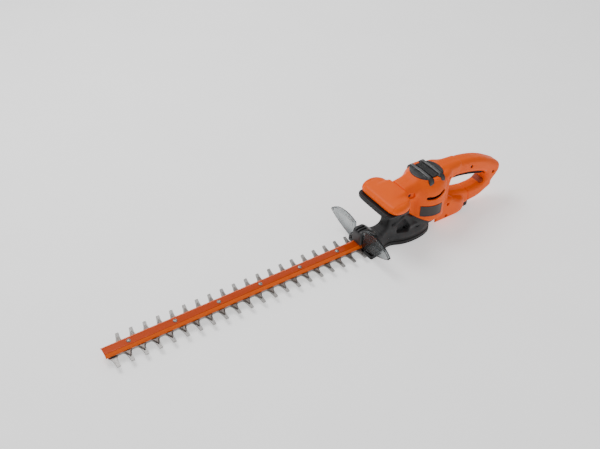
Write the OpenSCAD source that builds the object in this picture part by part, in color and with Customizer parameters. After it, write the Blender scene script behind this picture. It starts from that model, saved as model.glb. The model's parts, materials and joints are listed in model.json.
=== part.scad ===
// Electric hedge trimmer with a vertical motor, a rear loop handle and a T-shaped front handle.
// +X runs from the blade tip to the rear handle, +Z is up, y = 0 is the split of the housing.
// The origin is on the underside of the base plate, on the motor's axis.

/* [Blades] */
// Distance from one tooth to the next
tooth_pitch = 24; // [23.5:0.1:24]
// Tip of a comb tooth, from the middle line
comb_reach = 34; // [30:1:36]
// Tip of a cutting tooth, from the middle line
cutter_reach = 25; // [22:1:27]
// Thickness of each blade
blade_t = 2.2; // [1.8:0.1:2.2]
// Travel of each blade to either side of its rest place
blade_stroke = 6; // [4:0.5:6]
// How far the teeth on the right lean back, from root to tip
right_lean = 5; // [0:0.5:5]

/* [Housing] */
// Outer radius of the motor pod
pod_r = 43; // [42:0.5:44]
// Wall thickness of the plastic shells
wall = 2.6; // [2.2:0.1:2.8]
// Half width of the rear handle
handle_w = 16.5; // [16:0.5:18]
// Half width of the bulge under the rear handle
bulge_w = 32; // [28:1:32]
// Half width of the front handle
front_w = 54; // [50:1:56]

/* [Drive] */
// Gear module
gear_m = 0.75; // [0.75:0.05:0.75]
// Teeth on the pinion
pinion_z = 14; // [14:2:14]
// Teeth on the drive gear
gear_z = 66; // [66:2:66]
// Radius of each eccentric disc
eccentric_r = 10; // [9.5:0.1:10]

/* [Hidden] */

orange = [1, 0.36, 0.07];
bar_orange = [0.8, 0.3, 0.1];
dark = [0.2, 0.2, 0.21];
black = [0.06, 0.06, 0.06];
steel = [0.72, 0.73, 0.72];
copper = [0.75, 0.42, 0.2];
brass = [0.8, 0.65, 0.3];
clear_grey = [0.7, 0.72, 0.72, 0.45];

big = 400;          // reach of a cutting tool that goes right through
gap = 0.3;          // between pieces of different bodies
run = 0.05;         // radial clearance of a shaft that turns
seat = 0.02;        // radial clearance of a piece pressed on its shaft
screw_r = 1.5;
hole_r = 1.6;

// blade stack
first_tooth = -635;
tooth_count = 21;
bar_front = -647;
bar_rear = -76;
strip_w = 12;
lower_z = 9.5;
upper_z = lower_z + blade_t + gap;
bar_z = upper_z + blade_t + gap;
bar_top = 20;
bar_skin = 1.8;
blade_screw_at = [for (i = [0:5]) -603.4 + 81.4 * i];
spacer_r = 3.4;
nut_z = 6.5;

// drive
gear_x = -gear_m * (pinion_z + gear_z) / 2;
gear_floor = 17;
gear_h = 7;
gear_shaft_r = 4;
motor_shaft_r = 4;
pinion_shaft_r = 3;
cavity_z = 15.6;    // ceiling of the blade space in the gear housing
yoke_x = eccentric_r + 2 * blade_stroke + gap;
yoke_y = eccentric_r + blade_stroke + gap;

// housing levels
base_t = 3;
rim_top = 5.4;
pod_floor = 39;
seat_r = 30;        // round seat of the motor pod on the gear housing
seat_top = 41.5;
cap_r = 30.2;       // opening for the vent cap
cap_seat = 126.7;
neck_front = -63.8;
housing_front = -144.5;
guard_x = -149.4;
guard_t = 3.2;

// motor levels
core_z = 58;
core_h = 30;
core_r = 19;
stator_r = 34;
brush_z = 96.2;

// rear handle pivot
pivot = [149, 80.5];

// ---------------- helpers ----------------
// A flat (x, z) outline pushed out along Y, w to each side of the middle.
module across(w) rotate([90, 0, 0]) translate([0, 0, -w]) linear_extrude(2 * w) children();
// A flat (y, z) outline pushed out along +X by len from x0.
module along(x0, len) translate([x0, 0, 0]) rotate([90, 0, 90]) linear_extrude(len) children();
// across() with its long edges rounded by r in four steps, drawn in by d.
module soft_across(w, r, d = 0) for (t = [0, 30, 60, 90])
    across(w - r * (1 - sin(t)) - d) offset(delta = -r * (1 - cos(t)) - d) children();
// Cylinder along Y at (x, z), from y0 to y1.
module cross_pin(x, z, y0, y1, r) translate([x, y0, z]) rotate([-90, 0, 0])
    cylinder(r = r, h = y1 - y0, $fn = 32);
// Upright cylinder.
module post(x, y, z0, z1, r) translate([x, y, z0]) cylinder(r = r, h = z1 - z0, $fn = r < 12 ? 40 : 96);
module ring(r_out, r_in, z0, z1) difference() {
    post(0, 0, z0, z1, r_out);
    post(0, 0, z0 - 1, z1 + 1, r_in);
}
module both_sides() {
    children();
    mirror([0, 1, 0]) children();
}
// Round lead through a list of points.
module cable(points, r) for (i = [0:len(points) - 2]) hull() for (p = [points[i], points[i + 1]])
    translate(p) sphere(r = r, $fn = 8);
// Coil spring along +Z.
module coil(r, wire, len, turns) linear_extrude(len, twist = -360 * turns, slices = 10 * turns)
    translate([r, 0]) circle(r = wire, $fn = 6);
module slot_2d(half_len, r) {
    square([2 * (half_len - r), 2 * r], center = true);
    for (s = [-1, 1]) translate([s * (half_len - r), 0]) circle(r = r, $fn = 32);
}
// Closes a list of (x, half width) points into an outline on both sides of the middle line.
function mirrored(p) = concat(p, [for (i = [len(p) - 1:-1:0]) [p[i][0], -p[i][1]]]);

// ---------------- gears ----------------
function roll(r, rb) = let (a = acos(rb / r)) tan(a) * 180 / PI - a;
function polar(r, a) = [r * cos(a), r * sin(a)];
// Involute gear with z teeth, a tooth centred on +X.
module gear_2d(z) {
    rp = gear_m * z / 2;
    rb = rp * cos(20);
    backlash = 0.05 / rp * 180 / PI;
    r_tip = rp + 0.8 * gear_m;
    r_root = rp - 1.2 * gear_m;
    r_low = max(r_root + 0.02, rb + 0.01);
    radii = [r_root, r_low, (r_low + r_tip) / 2, r_tip];
    half = [for (r = radii) 90 / z - backlash + roll(rp, rb) - roll(max(r, r_low), rb)];
    polygon([for (i = [0:z - 1]) each concat(
        [for (j = [0:3]) polar(radii[j], i * 360 / z - half[j])],
        [for (j = [3:-1:0]) polar(radii[j], i * 360 / z + half[j])])]);
}

// ---------------- orange housing ----------------
loop_outer = [[-8, 14], [-8, 127], [20, 128.5], [37, 129], [54, 128.5], [83, 126.5], [100, 123.8],
    [114, 120.6], [130, 115.8], [146, 109.4], [160, 102], [172, 95.5], [181, 90], [186.5, 85.5],
    [189.2, 80], [189.6, 74], [188, 67.5], [182, 58.5], [175, 51.5], [172, 47], [173.5, 38],
    [163, 32.5], [155, 28.5], [142, 22], [131, 19.4], [120, 18.2], [104, 16.4], [84, 14]];
loop_inner = [[50, 66], [48.5, 70], [47.5, 76], [47, 86], [48, 93], [53, 96.5], [60, 97.5],
    [70, 96.8], [82, 95], [104, 91], [118, 87.5], [129, 84], [140, 80], [148, 75], [152, 68],
    [153, 61], [151, 55], [146, 52], [138, 50.5], [128, 50.3], [116, 50.5], [104, 51.5],
    [90, 54.5], [78, 57], [66, 59.5], [56, 62]];
neck_side = [[-96, 99], [-86, 113], [-72, 117], [-59, 119], [-44, 121], [-35, 125], [-20, 126.5],
    [0, 126.5], [0, 42], [-24, 44], [-40, 51], [-54, 62], [-66, 74], [-76, 86], [-80, 99]];
pod_side = [[-20, pod_floor], [pod_r - 1.5, pod_floor], [pod_r, 41], [pod_r, 98],
    [pod_r - 1.2, 107], [pod_r - 4, 115], [pod_r - 8, 121], [33.5, 124.5], [30.5, 126.5],
    [-20, 126.5]];
// Swelling where the rear handle grows out of the pod, from the side and half of it from above.
fairing_side = [[8, 42], [52, 42], [52.5, 52], [50, 58], [48.5, 66], [47.5, 76], [47, 86], [48, 93],
    [53, 96.5], [60, 97.5], [62, 110], [62, 126], [8, 126]];
fairing_plan = [[10, 30], [30, 30], [38, 27], [46, 21.5], [54, 17.8], [62, 16.4]];
bulge_x = 70;       // middle of the bulge's round end
// Underside of the orange housing, above the gear housing.
under_line = [[-130, 0], [-130, 87], [-76, 87], [-66, 74], [-54, 62], [-40, 51], [-24, 44],
    [-12, 38.7], [14.4, 38.7], [14.4, 0]];
trigger_slot = [[48.2, 84], [48.2, 104], [60, 110], [82, 108], [104, 104], [129, 98],
    [150, 92], [157, 88], [157.5, 78], [155, 72], [148, 70], [140, 66]];
// Middle line of the curved vent on each side, as x, z.
vent_line = [[-28, 94], [-14, 92.6], [0, 95], [12, 101.5]];
vent_r = 2.9;
// Screw bosses as x, z and the depth of the screw head from the middle.
bosses = [[40, 24, 22], [40, 52, 22], [38, 112, 22], [104, 107, 12], [169, 72, 12],
    [-56, 105, 20]];

module pod_solid(d) rotate_extrude($fn = 96) intersection() {
    offset(delta = -d) polygon(pod_side);
    square([60, 200]);
}
module bulge_solid(d) {
    for (s = [[0, 17, 42], [3, 15, 45], [7, 14, 47]])
        translate([0, 0, s[1] + d]) linear_extrude(s[2] - s[1] - 2 * d) {
            translate([bulge_x, 0]) circle(r = bulge_w - s[0] - d, $fn = 64);
            translate([8, s[0] + d - bulge_w]) square([bulge_x - 8, 2 * (bulge_w - s[0] - d)]);
        }
    for (s = [[28, 44, 62, 46], [23, 60, 90, 44]])
        translate([8, d - s[0], s[1] - 3]) cube([s[3] - 8 - d, 2 * (s[0] - d), s[2] - s[1] + 3 - d]);
}
module fairing_solid(d) intersection() {
    soft_across(30, 14, d) polygon(fairing_side);
    linear_extrude(big) offset(delta = -d) polygon(mirrored(fairing_plan));
}
// The whole orange housing drawn in by d on every side.
module housing_solid(d) {
    pod_solid(d);
    soft_across(handle_w, 9, d) difference() {
        polygon(loop_outer);
        polygon(loop_inner);
    }
    intersection() {
        soft_across(27, 6, d) polygon(neck_side);
        translate([neck_front + d, -big / 2, 0]) cube([big, big, big]);
    }
    bulge_solid(d);
    fairing_solid(d);
}
// What stands inside the housing: bosses, motor ribs and the seat of the trigger spring.
module housing_inside() {
    for (b = bosses) cross_pin(b[0], b[1], -big / 2, big / 2, 4.2);
    for (a = [45:90:315]) rotate([0, 0, a]) translate([stator_r + 0.2, -1.5, 54]) cube([10, 3, 54]);
    translate([107, -20, 105]) cube([10, 40, 2]);
}
// Curved band around the motor pod on the left side.
module pod_band(r, t, a0, a1, z0, h) rotate([0, 0, a0]) rotate_extrude(angle = a1 - a0, $fn = 96)
    translate([r, z0]) square([t, h]);
module retainer_oval(x0, x1, r) intersection() {
    translate([x0, 0, 54]) rotate([0, 90, 0]) cylinder(r = r, h = x1 - x0, $fn = 48);
    translate([x0, -20, 54 - 0.6 * r]) cube([x1 - x0, 40, 1.2 * r]);
}
module housing_whole() difference() {
    housing_solid(0);
    difference() {
        housing_solid(wall);
        housing_inside();
    }
    post(0, 0, 110, 150, cap_r);
    post(0, 0, cap_seat - 0.02, 150, 32.8);
    post(0, 0, 28, 45, seat_r + gap);
    across(60) polygon(under_line);
    across(10.4) polygon(trigger_slot);
    for (b = bosses) {
        cross_pin(b[0], b[1], -60, 10, hole_r);
        cross_pin(b[0], b[1], -60, -b[2], 3.3);
    }
    both_sides() {
        translate([0, -27, 0]) rotate([90, 0, 0]) linear_extrude(25) for (i = [0:2])
            hull() for (p = [vent_line[i], vent_line[i + 1]]) translate(p) circle(r = vent_r, $fn = 24);
        pod_band(pod_r - 0.9, 4, -136, -74, 52, 23);
    }
    translate([70, -14.3, 8]) cube([60, 28.6, 16.3]);
    retainer_oval(147, 153.6, 10.2);
    cross_pin(pivot[0], pivot[1], -15.1, 15.1, 1.52);
    translate([neck_front - 2, -7, 97]) cube([6, 14, 10]);
}
module housing_left() color(orange) intersection() {
    housing_whole();
    translate([-big, -big, -50]) cube([2 * big, big, big]);
}
module housing_right() color(orange) intersection() {
    housing_whole();
    translate([-big, 0, -50]) cube([2 * big, big, big]);
}

// ---------------- front handle ----------------
front_side = [[-117, 97], [-117, 102], [-114.5, 107], [-108, 111], [-98, 113.6], [-86, 115],
    [-75, 115], [-66.5, 113], [-64.2, 110], [-64.2, 97]];
front_hollow = [[-114.4, 90], [-114.4, 101.4], [-112.5, 105.2], [-107, 108.5], [-97.5, 110.9],
    [-86, 112.4], [-75, 112.4], [-66.8, 110.4], [-66.8, 90]];
front_crown = [[-97, 110], [-86, 114], [-72, 117], [-64.2, 118.3], [-64.2, 110]];
handle_screws = [-30, 30];

module front_handle_shell() color(orange) difference() {
    union() {
        difference() {
            soft_across(front_w, 4) polygon(front_side);
            across(front_w - wall) polygon(front_hollow);
        }
        for (y = handle_screws) post(-81, y, 97.6, 113, 4);
        soft_across(27, 4) polygon(front_crown);
    }
    for (y = handle_screws) post(-81, y, 90, 108, hole_r);
    translate([-68, -7, 90]) cube([6, 14, 14]);
}
module front_handle_base() color(dark) difference() {
    soft_across(50, 4) polygon([[-96.5, 89], [-96.5, 96.8], [-66, 96.8], [-66, 89], [-70, 86],
        [-93, 86]]);
    for (y = handle_screws) {
        post(-81, y, 80, 100, hole_r);
        post(-81, y, 80, 89, 3.2);
        translate([-97, y, 92]) rotate([0, 90, 0]) cylinder(r = 3.6, h = 6, $fn = 32);
    }
}
module front_switch_bar() color(dark) difference() {
    union() {
        intersection() {
            across(50) polygon([[-124, 89], [-124, 96], [-122.5, 98], [-120.4, 98],
                [-120.4, 96.5], [-100, 96.5], [-100, 88], [-103, 85], [-121, 85]]);
            along(-130, 40) polygon([[-48, 99], [-49.5, 97], [-46, 94.5], [-38, 90.5], [-28, 87.3],
                [-15, 85.4], [0, 85], [15, 85.4], [28, 87.3], [38, 90.5], [46, 94.5], [49.5, 97],
                [48, 99]]);
        }
        translate([-106, -5, 96]) cube([5, 10, 8.5]);
    }
    for (y = handle_screws) translate([-103, y, 92]) rotate([0, 90, 0])
        cylinder(r = 3.6, h = 4, $fn = 32);
}
module switch_bar_springs() color(steel) for (y = handle_screws)
    translate([-102.9, y, 92]) rotate([0, 90, 0]) coil(2.6, 0.4, 11.8, 5);
module front_switch() color(black) {
    translate([-93, -7, 98]) cube([16, 14, 9]);
    translate([-97, 0, 101.5]) rotate([0, 90, 0]) cylinder(r = 2, h = 4.5, $fn = 24);
}
module front_handle_screws() color(steel) for (y = handle_screws) {
    post(-81, y, 86.6, 88.9, 3);
    post(-81, y, 88.5, 106, screw_r);
}

// ---------------- gear housing ----------------
// Half widths of the base, from the front to the rear.
base_plan = mirrored([[housing_front, 36], [-122, 34], [-112, 30], [-105, 26], [-98, 23.5],
    [-91, 23], [-84, 24.5], [-71, 30.5], [-48, 34.5], [-31, 35], [-9, 31.5], [0, 28], [8, 21],
    [12, 16], [14, 10]]);
column_side = [[-112, 12], [-112, 28.5], [-102, 30], [-94, 34], [-90, 42], [-89, 54], [-89, 76],
    [-90, 85.9], [-76, 85.9], [-66.3, 73.8], [-54.3, 61.6], [-40.3, 50.6], [-24.3, 43.6],
    [-12, 38.4], [-12, 12]];
side_pocket = [[-73, 22], [-51, 20], [-46, 34], [-60, 47], [-70, 44]];
base_screw_at = [[-126, 27], [-91, 18.3], [-52, 28.5]];
bracket_screw_at = [-119, 7.5];

module gear_housing() color(dark) difference() {
    union() {
        for (s = [[0.6, rim_top + 0.1, 15], [3.5, 14, 21], [7, 20, 26], [11, 25, 29]])
            translate([0, 0, s[1]]) linear_extrude(s[2] - s[1]) offset(delta = -s[0])
                polygon(base_plan);
        intersection() {
            translate([0, 0, 28]) linear_extrude(10.4) offset(delta = -8) polygon(base_plan);
            translate([-76, -50, 0]) cube([100, 100, 60]);
        }
        soft_across(20, 7) polygon(column_side);
        post(0, 0, 27, seat_top, seat_r);
        intersection() {
            difference() {
                post(0, 0, 33, 60, pod_r - 1.2);
                post(0, 0, seat_top, 70, 35.5);
            }
            across(60) polygon([[-60, 33], [-54.3, 61.6], [-40.3, 50.6], [-24.3, 43.6], [-12, 38.4],
                [-12, 33]]);
        }
    }
    // blade space, gears and bearings
    intersection() {
        linear_extrude(cavity_z) offset(delta = -3) polygon(base_plan);
        translate([-73, -24, 0]) cube([110, 48, 40]);
    }
    translate([housing_front - 5, -13.6, 0]) cube([90, 27.2, 20.6]);
    translate([housing_front - 5, -comb_reach - 1, lower_z - 1]) cube([10.5, 2 * comb_reach + 2, 6.6]);
    post(gear_x, 0, 10, gear_floor + gear_h + 1, gear_m * gear_z / 2 + 1.6);
    post(gear_x, 0, 20, 33, 7);
    post(0, 0, 10, 34.4, 9.5);
    post(0, 0, 30, 50, 6);
    post(0, 0, seat_top, 80, 35.5);
    // hollow column
    across(15) polygon([[-85.5, 36], [-85.5, 80], [-79, 80], [-70, 68], [-76, 52], [-77, 38]]);
    both_sides() translate([0, 14.5, 0]) rotate([90, 0, 0]) translate([0, 0, -30])
        linear_extrude(30) polygon(side_pocket);
    for (s = [-1, 1]) {
        for (p = base_screw_at) post(p[0], s * p[1], 0, 17, hole_r);
        post(bracket_screw_at[0], s * bracket_screw_at[1], 21.5, 40, hole_r);
    }
}
module base_plate() color(black) difference() {
    union() {
        linear_extrude(base_t) polygon(base_plan);
        linear_extrude(rim_top) difference() {
            polygon(base_plan);
            offset(delta = -3.4) polygon(base_plan);
        }
        post(gear_x, 0, 1, 8.6, 9);
    }
    post(gear_x, 0, 1.8, 20, 6.52);
    translate([housing_front - 5, -13.6, base_t]) cube([20, 27.2, 10]);
    for (p = base_screw_at, s = [-1, 1]) {
        post(p[0], s * p[1], -1, 10, hole_r);
        post(p[0], s * p[1], -1, 2, 3.2);
    }
}
module base_screws() color(steel) for (p = base_screw_at, s = [-1, 1]) {
    post(p[0], s * p[1], 0.3, 1.9, 3);
    post(p[0], s * p[1], 1, 16, screw_r);
}
module felt_wiper() color([0.55, 0.53, 0.48]) translate([-122, -11, base_t + 0.1])
    cube([18, 22, lower_z - base_t - 0.6]);

// ---------------- hand guard ----------------
guard_half = [[0, 43], [12.8, 43], [13.4, 55], [20, 57.6], [28, 59.8], [38, 61], [48, 60.8],
    [60, 59.6], [70, 57], [79, 52.5], [85, 48], [88, 44], [88.3, 41.5], [86, 39.5], [78, 35],
    [66, 29.8], [54, 25.6], [40, 21.4], [26, 17.6], [16, 15.6], [12.9, 15.4], [12.9, 21.5],
    [0, 21.5]];
guard_outline = concat(guard_half, [for (i = [len(guard_half) - 2:-1:1])
    [-guard_half[i][0], guard_half[i][1]]]);
bracket_side = [[-154, 21], [-154, 44], [-151.5, 48.5], [-148, 50], [-133, 50], [-127, 45.5],
    [-120, 38.5], [-114, 33], [-113.5, 29.2], [-144.2, 29.2], [-144.2, 21]];

module hand_guard() color(clear_grey) {
    along(guard_x, guard_t) polygon(guard_outline);
    // stiffening lip along the upper edge
    difference() {
        along(guard_x + guard_t - 0.2, 3) polygon(guard_outline);
        along(guard_x, 10) translate([0, -4]) scale([0.96, 1]) polygon(guard_outline);
        translate([guard_x - 1, -17, 0]) cube([20, 34, 80]);
        translate([guard_x - 1, -100, 0]) cube([20, 200, 46]);
    }
}
module guard_bracket() color(dark) difference() {
    soft_across(12.5, 3) polygon(bracket_side);
    translate([guard_x - 0.1, -40, 0]) cube([guard_t + 0.2, 80, 43.3]);
    for (y = [-4.7, 1.7]) translate([-152.5, y, 46.5]) cube([19, 3, 10]);
    across(9) polygon([[-144, 32], [-144, 43.2], [-136, 43.2], [-127, 36], [-127, 32]]);
    for (s = [-1, 1]) {
        post(bracket_screw_at[0], s * bracket_screw_at[1], 20, 60, hole_r);
        post(bracket_screw_at[0], s * bracket_screw_at[1], 34, 60, 3.2);
    }
}
module bracket_screws() color(steel) for (s = [-1, 1]) {
    post(bracket_screw_at[0], s * bracket_screw_at[1], 34.1, 36, 3);
    post(bracket_screw_at[0], s * bracket_screw_at[1], 22, 34.5, screw_r);
}

// ---------------- motor pod trim ----------------
module vent_cap() color(black) difference() {
    union() {
        post(0, 0, cap_seat, 129.5, 32.5);
        ring(cap_r - 0.3, cap_r - 2.5, 119, cap_seat + 0.3);
        for (x = [-13, 13]) intersection() {
            translate([x - 4.5, -36, cap_seat]) cube([9, 72, 6.5]);
            post(0, 0, cap_seat, 140, 35);
        }
    }
    for (x = [-7.5, 18.5]) translate([x, -22, 120]) cube([2.5, 44, 20]);
}
module side_plates() color(dark) both_sides() pod_band(pod_r - 0.85, 1.4, -135.6, -74.4, 52.3, 22.4);
module cord_retainer() color([0.45, 0.2, 0.08]) retainer_oval(147.6, 153.5, 9.8);

// ---------------- blades ----------------
comb_tooth = [[-8.4, strip_w], [-5.2, 15], [-3.3, 24], [-3, comb_reach - 1], [-2, comb_reach],
    [2, comb_reach], [3, comb_reach - 1], [3.3, 24], [5.2, 15], [8.4, strip_w]];
cutting_tooth = [[-8.2, strip_w], [-4.8, 16], [-0.7, cutter_reach], [0.7, cutter_reach], [4.8, 16],
    [8.2, strip_w]];
function left_edge(tooth, first) = [for (k = [first:tooth_count - 1], p = tooth)
    [first_tooth + tooth_pitch * k + p[0], -p[1]]];
function lean(y) = right_lean * (comb_reach - y) / (comb_reach - strip_w);
function right_edge(tooth, first) = [for (k = [tooth_count - 1:-1:1], p = tooth)
    [first_tooth + tooth_pitch * k - p[0] - lean(p[1]), p[1]]];
yoke_front = gear_x - yoke_x - 4;
yoke_rear = gear_x + yoke_x + 4;
yoke_edge = [[yoke_front - 9, -strip_w], [yoke_front, -21], [yoke_rear - 4, -21], [yoke_rear, -17],
    [yoke_rear, 17], [yoke_rear - 4, 21], [yoke_front, 21], [yoke_front - 9, strip_w]];

module blade(tooth, first, front, z) translate([0, 0, z]) linear_extrude(blade_t) difference() {
    polygon(concat([[front, -strip_w]], left_edge(tooth, first), yoke_edge, right_edge(tooth, first),
        [[front, strip_w]]));
    for (x = blade_screw_at) translate([x, 0]) slot_2d(blade_stroke + spacer_r + gap, spacer_r + gap);
    translate([gear_x, 0]) square([2 * yoke_x, 2 * yoke_y], center = true);
}
module lower_blade() color(steel) blade(comb_tooth, 0, first_tooth - 8.5, lower_z);
module upper_blade() color([0.35, 0.35, 0.36]) blade(cutting_tooth, 1, first_tooth - 5, upper_z);
module blade_support_bar() color(bar_orange) difference() {
    along(bar_front, bar_rear - bar_front) difference() {
        polygon([[-12.4, bar_z], [-12.2, 16.2], [-10.5, 17.8], [-7, bar_top], [7, bar_top],
            [10.5, 17.8], [12.2, 16.2], [12.4, bar_z]]);
        polygon([[-10.6, bar_z - 1], [-10.5, 15.8], [-9.4, 16.6], [-6.4, bar_top - bar_skin],
            [6.4, bar_top - bar_skin], [9.4, 16.6], [10.5, 15.8], [10.6, bar_z - 1]]);
    }
    for (x = blade_screw_at) post(x, 0, 10, 30, 2.1);
}
module blade_screws() color(steel) for (x = blade_screw_at) {
    post(x, 0, nut_z + 0.1, bar_top + 0.2, 2);
    intersection() {
        translate([x, 0, bar_top - 3.6]) sphere(r = 6.2, $fn = 40);
        post(x, 0, bar_top + 0.02, bar_top + 5, 5);
    }
}
module blade_spacers() color(steel) for (x = blade_screw_at) translate([x, 0, 0])
    ring(spacer_r, 2.1, lower_z - gap, bar_top - bar_skin - 0.02);
module blade_nuts() color(steel) for (x = blade_screw_at) translate([x, 0, 0]) difference() {
    translate([0, 0, nut_z]) cylinder(r = 5, h = lower_z - gap - 0.02 - nut_z, $fn = 6);
    post(0, 0, 0, 20, 2.05);
}

// ---------------- gear and eccentrics ----------------
module bored(x, z0, z1, r) difference() {
    children();
    post(x, 0, z0 - 1, z1 + 1, r);
}
module drive_gear() color(steel) bored(gear_x, 14, 26, gear_shaft_r + seat) {
    translate([gear_x, 0, gear_floor]) rotate([0, 0, 180 / gear_z]) linear_extrude(gear_h)
        gear_2d(gear_z);
    post(gear_x, 0, 14.6, gear_floor + 0.1, 8);
}
module gear_shaft() color(steel) post(gear_x, 0, 2.2, 32.8, gear_shaft_r);
module eccentric(z, side) bored(gear_x, z, z + blade_t, gear_shaft_r + seat)
    post(gear_x, side * blade_stroke, z, z + blade_t, eccentric_r);
module upper_eccentric() color(brass) eccentric(upper_z, 1);
module lower_eccentric() color(brass) eccentric(lower_z, -1);
module gear_bushes() color(brass) translate([gear_x, 0, 0]) {
    ring(6.98, gear_shaft_r + run, 25.2, 32.9);
    ring(6.5, gear_shaft_r + run, 1.9, 8.6);
}

// ---------------- motor ----------------
module drive_pinion() color(steel) bored(0, 16, 27, pinion_shaft_r + seat)
    translate([0, 0, 16.6]) linear_extrude(8.2) gear_2d(pinion_z);
module armature_shaft() color(steel) {
    post(0, 0, 16.2, 26, pinion_shaft_r);
    post(0, 0, 25, 114.8, motor_shaft_r);
}
module armature_core() color([0.5, 0.5, 0.52]) difference() {
    post(0, 0, core_z, core_z + core_h, core_r);
    post(0, 0, 0, 120, motor_shaft_r + seat);
    for (a = [0:30:330]) rotate([0, 0, a]) post(core_r - 3.2, 0, 50, 100, 2.2);
}
module armature_windings() color(copper) {
    ring(16.5, motor_shaft_r + seat, core_z - 5.5, core_z - 0.05);
    ring(15, motor_shaft_r + seat, core_z + core_h + 0.05, 93.5);
    for (a = [0:30:330]) rotate([0, 0, a])
        post(core_r - 3.2, 0, core_z - 2, core_z + core_h + 2, 2.1);
}
module commutator() color(copper) difference() {
    ring(10, motor_shaft_r + seat, 94, 104);
    for (a = [0:30:330]) rotate([0, 0, a]) translate([9.2, -0.3, 90]) cube([3, 0.6, 20]);
}
module cooling_fan() color([0.3, 0.3, 0.3]) difference() {
    union() {
        post(0, 0, 43.5, 45, 33);
        post(0, 0, 43.5, 51, 8);
        for (a = [0:36:324]) rotate([0, 0, a]) translate([7, -0.8, 44]) cube([24.5, 1.6, 7]);
    }
    post(0, 0, 40, 60, motor_shaft_r + seat);
}
module stator_core() color([0.45, 0.45, 0.48]) difference() {
    ring(stator_r, core_r + 0.6, core_z - 1, core_z + core_h + 1);
    for (a = [50, 130, 230, 310]) rotate([0, 0, a]) post(27, 0, 40, 100, 4);
}
module field_windings() color(copper) {
    for (z = [52.2, core_z + core_h + 1.1], a = [45, 225]) rotate([0, 0, a]) translate([0, 0, z])
        rotate_extrude(angle = 90, $fn = 72) translate([22, 0]) square([10, 4.7]);
    for (a = [50, 130, 230, 310]) rotate([0, 0, a]) post(27, 0, 54, core_z + core_h + 3, 3.8);
}
module brush_boxes(y, z, x0, x1) for (s = [0, 180]) rotate([0, 0, s])
    translate([x0, -y, z]) cube([x1 - x0, 2 * y, 2 * (brush_z + 3.2 - z)]);
module brush_carrier() color(black) difference() {
    union() {
        post(0, 0, 104.5, 107, 33);
        post(0, 0, 106, 117, 11.6);
        brush_boxes(4.6, brush_z - 1.9, 11.5, 27.5);
    }
    brush_boxes(3.1, brush_z - 0.1, 5, 26);
    post(0, 0, 100, 115, 9);
    post(0, 0, 100, 130, 5);
}
module carbon_brushes() color([0.15, 0.15, 0.15]) brush_boxes(3, brush_z, 10.35, 19);
module brush_springs() color(steel) for (s = [0, 180]) rotate([0, 0, s])
    translate([19.2, 0, brush_z + 3.2]) rotate([0, 90, 0]) coil(2.1, 0.35, 6.6, 4);
module upper_bearing() color(steel) ring(8.95, motor_shaft_r + run, 107.5, 114.5);
module lower_bearing() color(steel) ring(9.45, motor_shaft_r + run, 27.2, 34.2);

// ---------------- rear handle and supply ----------------
trigger_side = [[49.2, 91.5], [49.5, 99.5], [60, 102], [82, 99.5], [104, 95], [129, 89.5],
    [141, 86.5], [149, 86], [153, 84.5], [154.4, 80], [151.5, 75.8], [146, 74.4], [140, 74],
    [129, 77.3], [104, 84.3], [82, 88.6], [60, 90.8], [52, 90.2]];
module trigger() color(dark) difference() {
    soft_across(9.9, 2) polygon(trigger_side);
    cross_pin(pivot[0], pivot[1], -20, 20, 1.56);
}
module trigger_pin() color(steel) cross_pin(pivot[0], pivot[1], -15, 15, 1.5);
module trigger_spring() color(steel) translate([112, 0, 93.5]) coil(2.6, 0.4, 11.4, 5);
module rear_switch() color(black) {
    translate([62, -8, 110]) cube([28, 16, 10.5]);
    post(74, 0, 106.5, 110.5, 2.5);
}
module power_inlet() color(black) difference() {
    soft_across(14, 3) polygon([[74, 8.4], [74, 24], [110, 24], [114, 22], [114, 10], [110, 8.4]]);
    translate([91, -10.5, 11]) cube([30, 21, 10.6]);
    for (y = [-5, 5]) translate([80, y, 16.3]) rotate([0, 90, 0]) cylinder(r = 2.02, h = 20, $fn = 32);
}
module inlet_pins() color(brass) for (y = [-5, 5]) translate([81, y, 16.3]) rotate([0, 90, 0])
    cylinder(r = 2, h = 29, $fn = 32);
module capacitor() color([0.8, 0.75, 0.4]) translate([48, 12, 30]) rotate([0, 90, 0])
    cylinder(r = 6, h = 20, $fn = 40);
module wiring_leads() color(black) for (s = [-1, 1]) {
    cable([[70, 5 * s, 27.5], [90, 5 * s, 30], [140, 3 * s, 31], [161, 3 * s, 41],
        [164, 3 * s, 50], [177, 3 * s, 63], [180, 3 * s, 76], [166, 3 * s, 92],
        [130, 3 * s, 109], [92, 4 * s, 114.8]], 1.3);
    cable([[60, 4 * s, 116], [46, 5 * s, 119], [38, 6 * s, 119], [31.5, 8 * s, 116],
        [31.5, 8 * s, 108.6]], 1.3);
    cable([[-75, 4 * s, 102], [-58, 4 * s, 98.6], [-40, 8 * s, 98], [-31, 8 * s, 98]], 1.3);
}
module housing_screws() color(steel) for (b = bosses) {
    cross_pin(b[0], b[1], -b[2] - 2.4, -b[2] - 0.02, 3);
    cross_pin(b[0], b[1], -b[2] - 1, 9, screw_r);
}

housing_left();
housing_right();
front_handle_shell();
front_handle_base();
gear_housing();
base_plate();
hand_guard();
guard_bracket();
vent_cap();
side_plates();
cord_retainer();
blade_support_bar();
blade_screws();
blade_spacers();
blade_nuts();
felt_wiper();
stator_core();
field_windings();
brush_carrier();
carbon_brushes();
brush_springs();
upper_bearing();
lower_bearing();
gear_bushes();
rear_switch();
front_switch();
trigger_pin();
trigger_spring();
switch_bar_springs();
power_inlet();
inlet_pins();
capacitor();
wiring_leads();
housing_screws();
base_screws();
bracket_screws();
front_handle_screws();
armature_core();
armature_windings();
armature_shaft();
commutator();
cooling_fan();
drive_pinion();
drive_gear();
gear_shaft();
upper_eccentric();
lower_eccentric();
upper_blade();
lower_blade();
trigger();
front_switch_bar();
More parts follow.
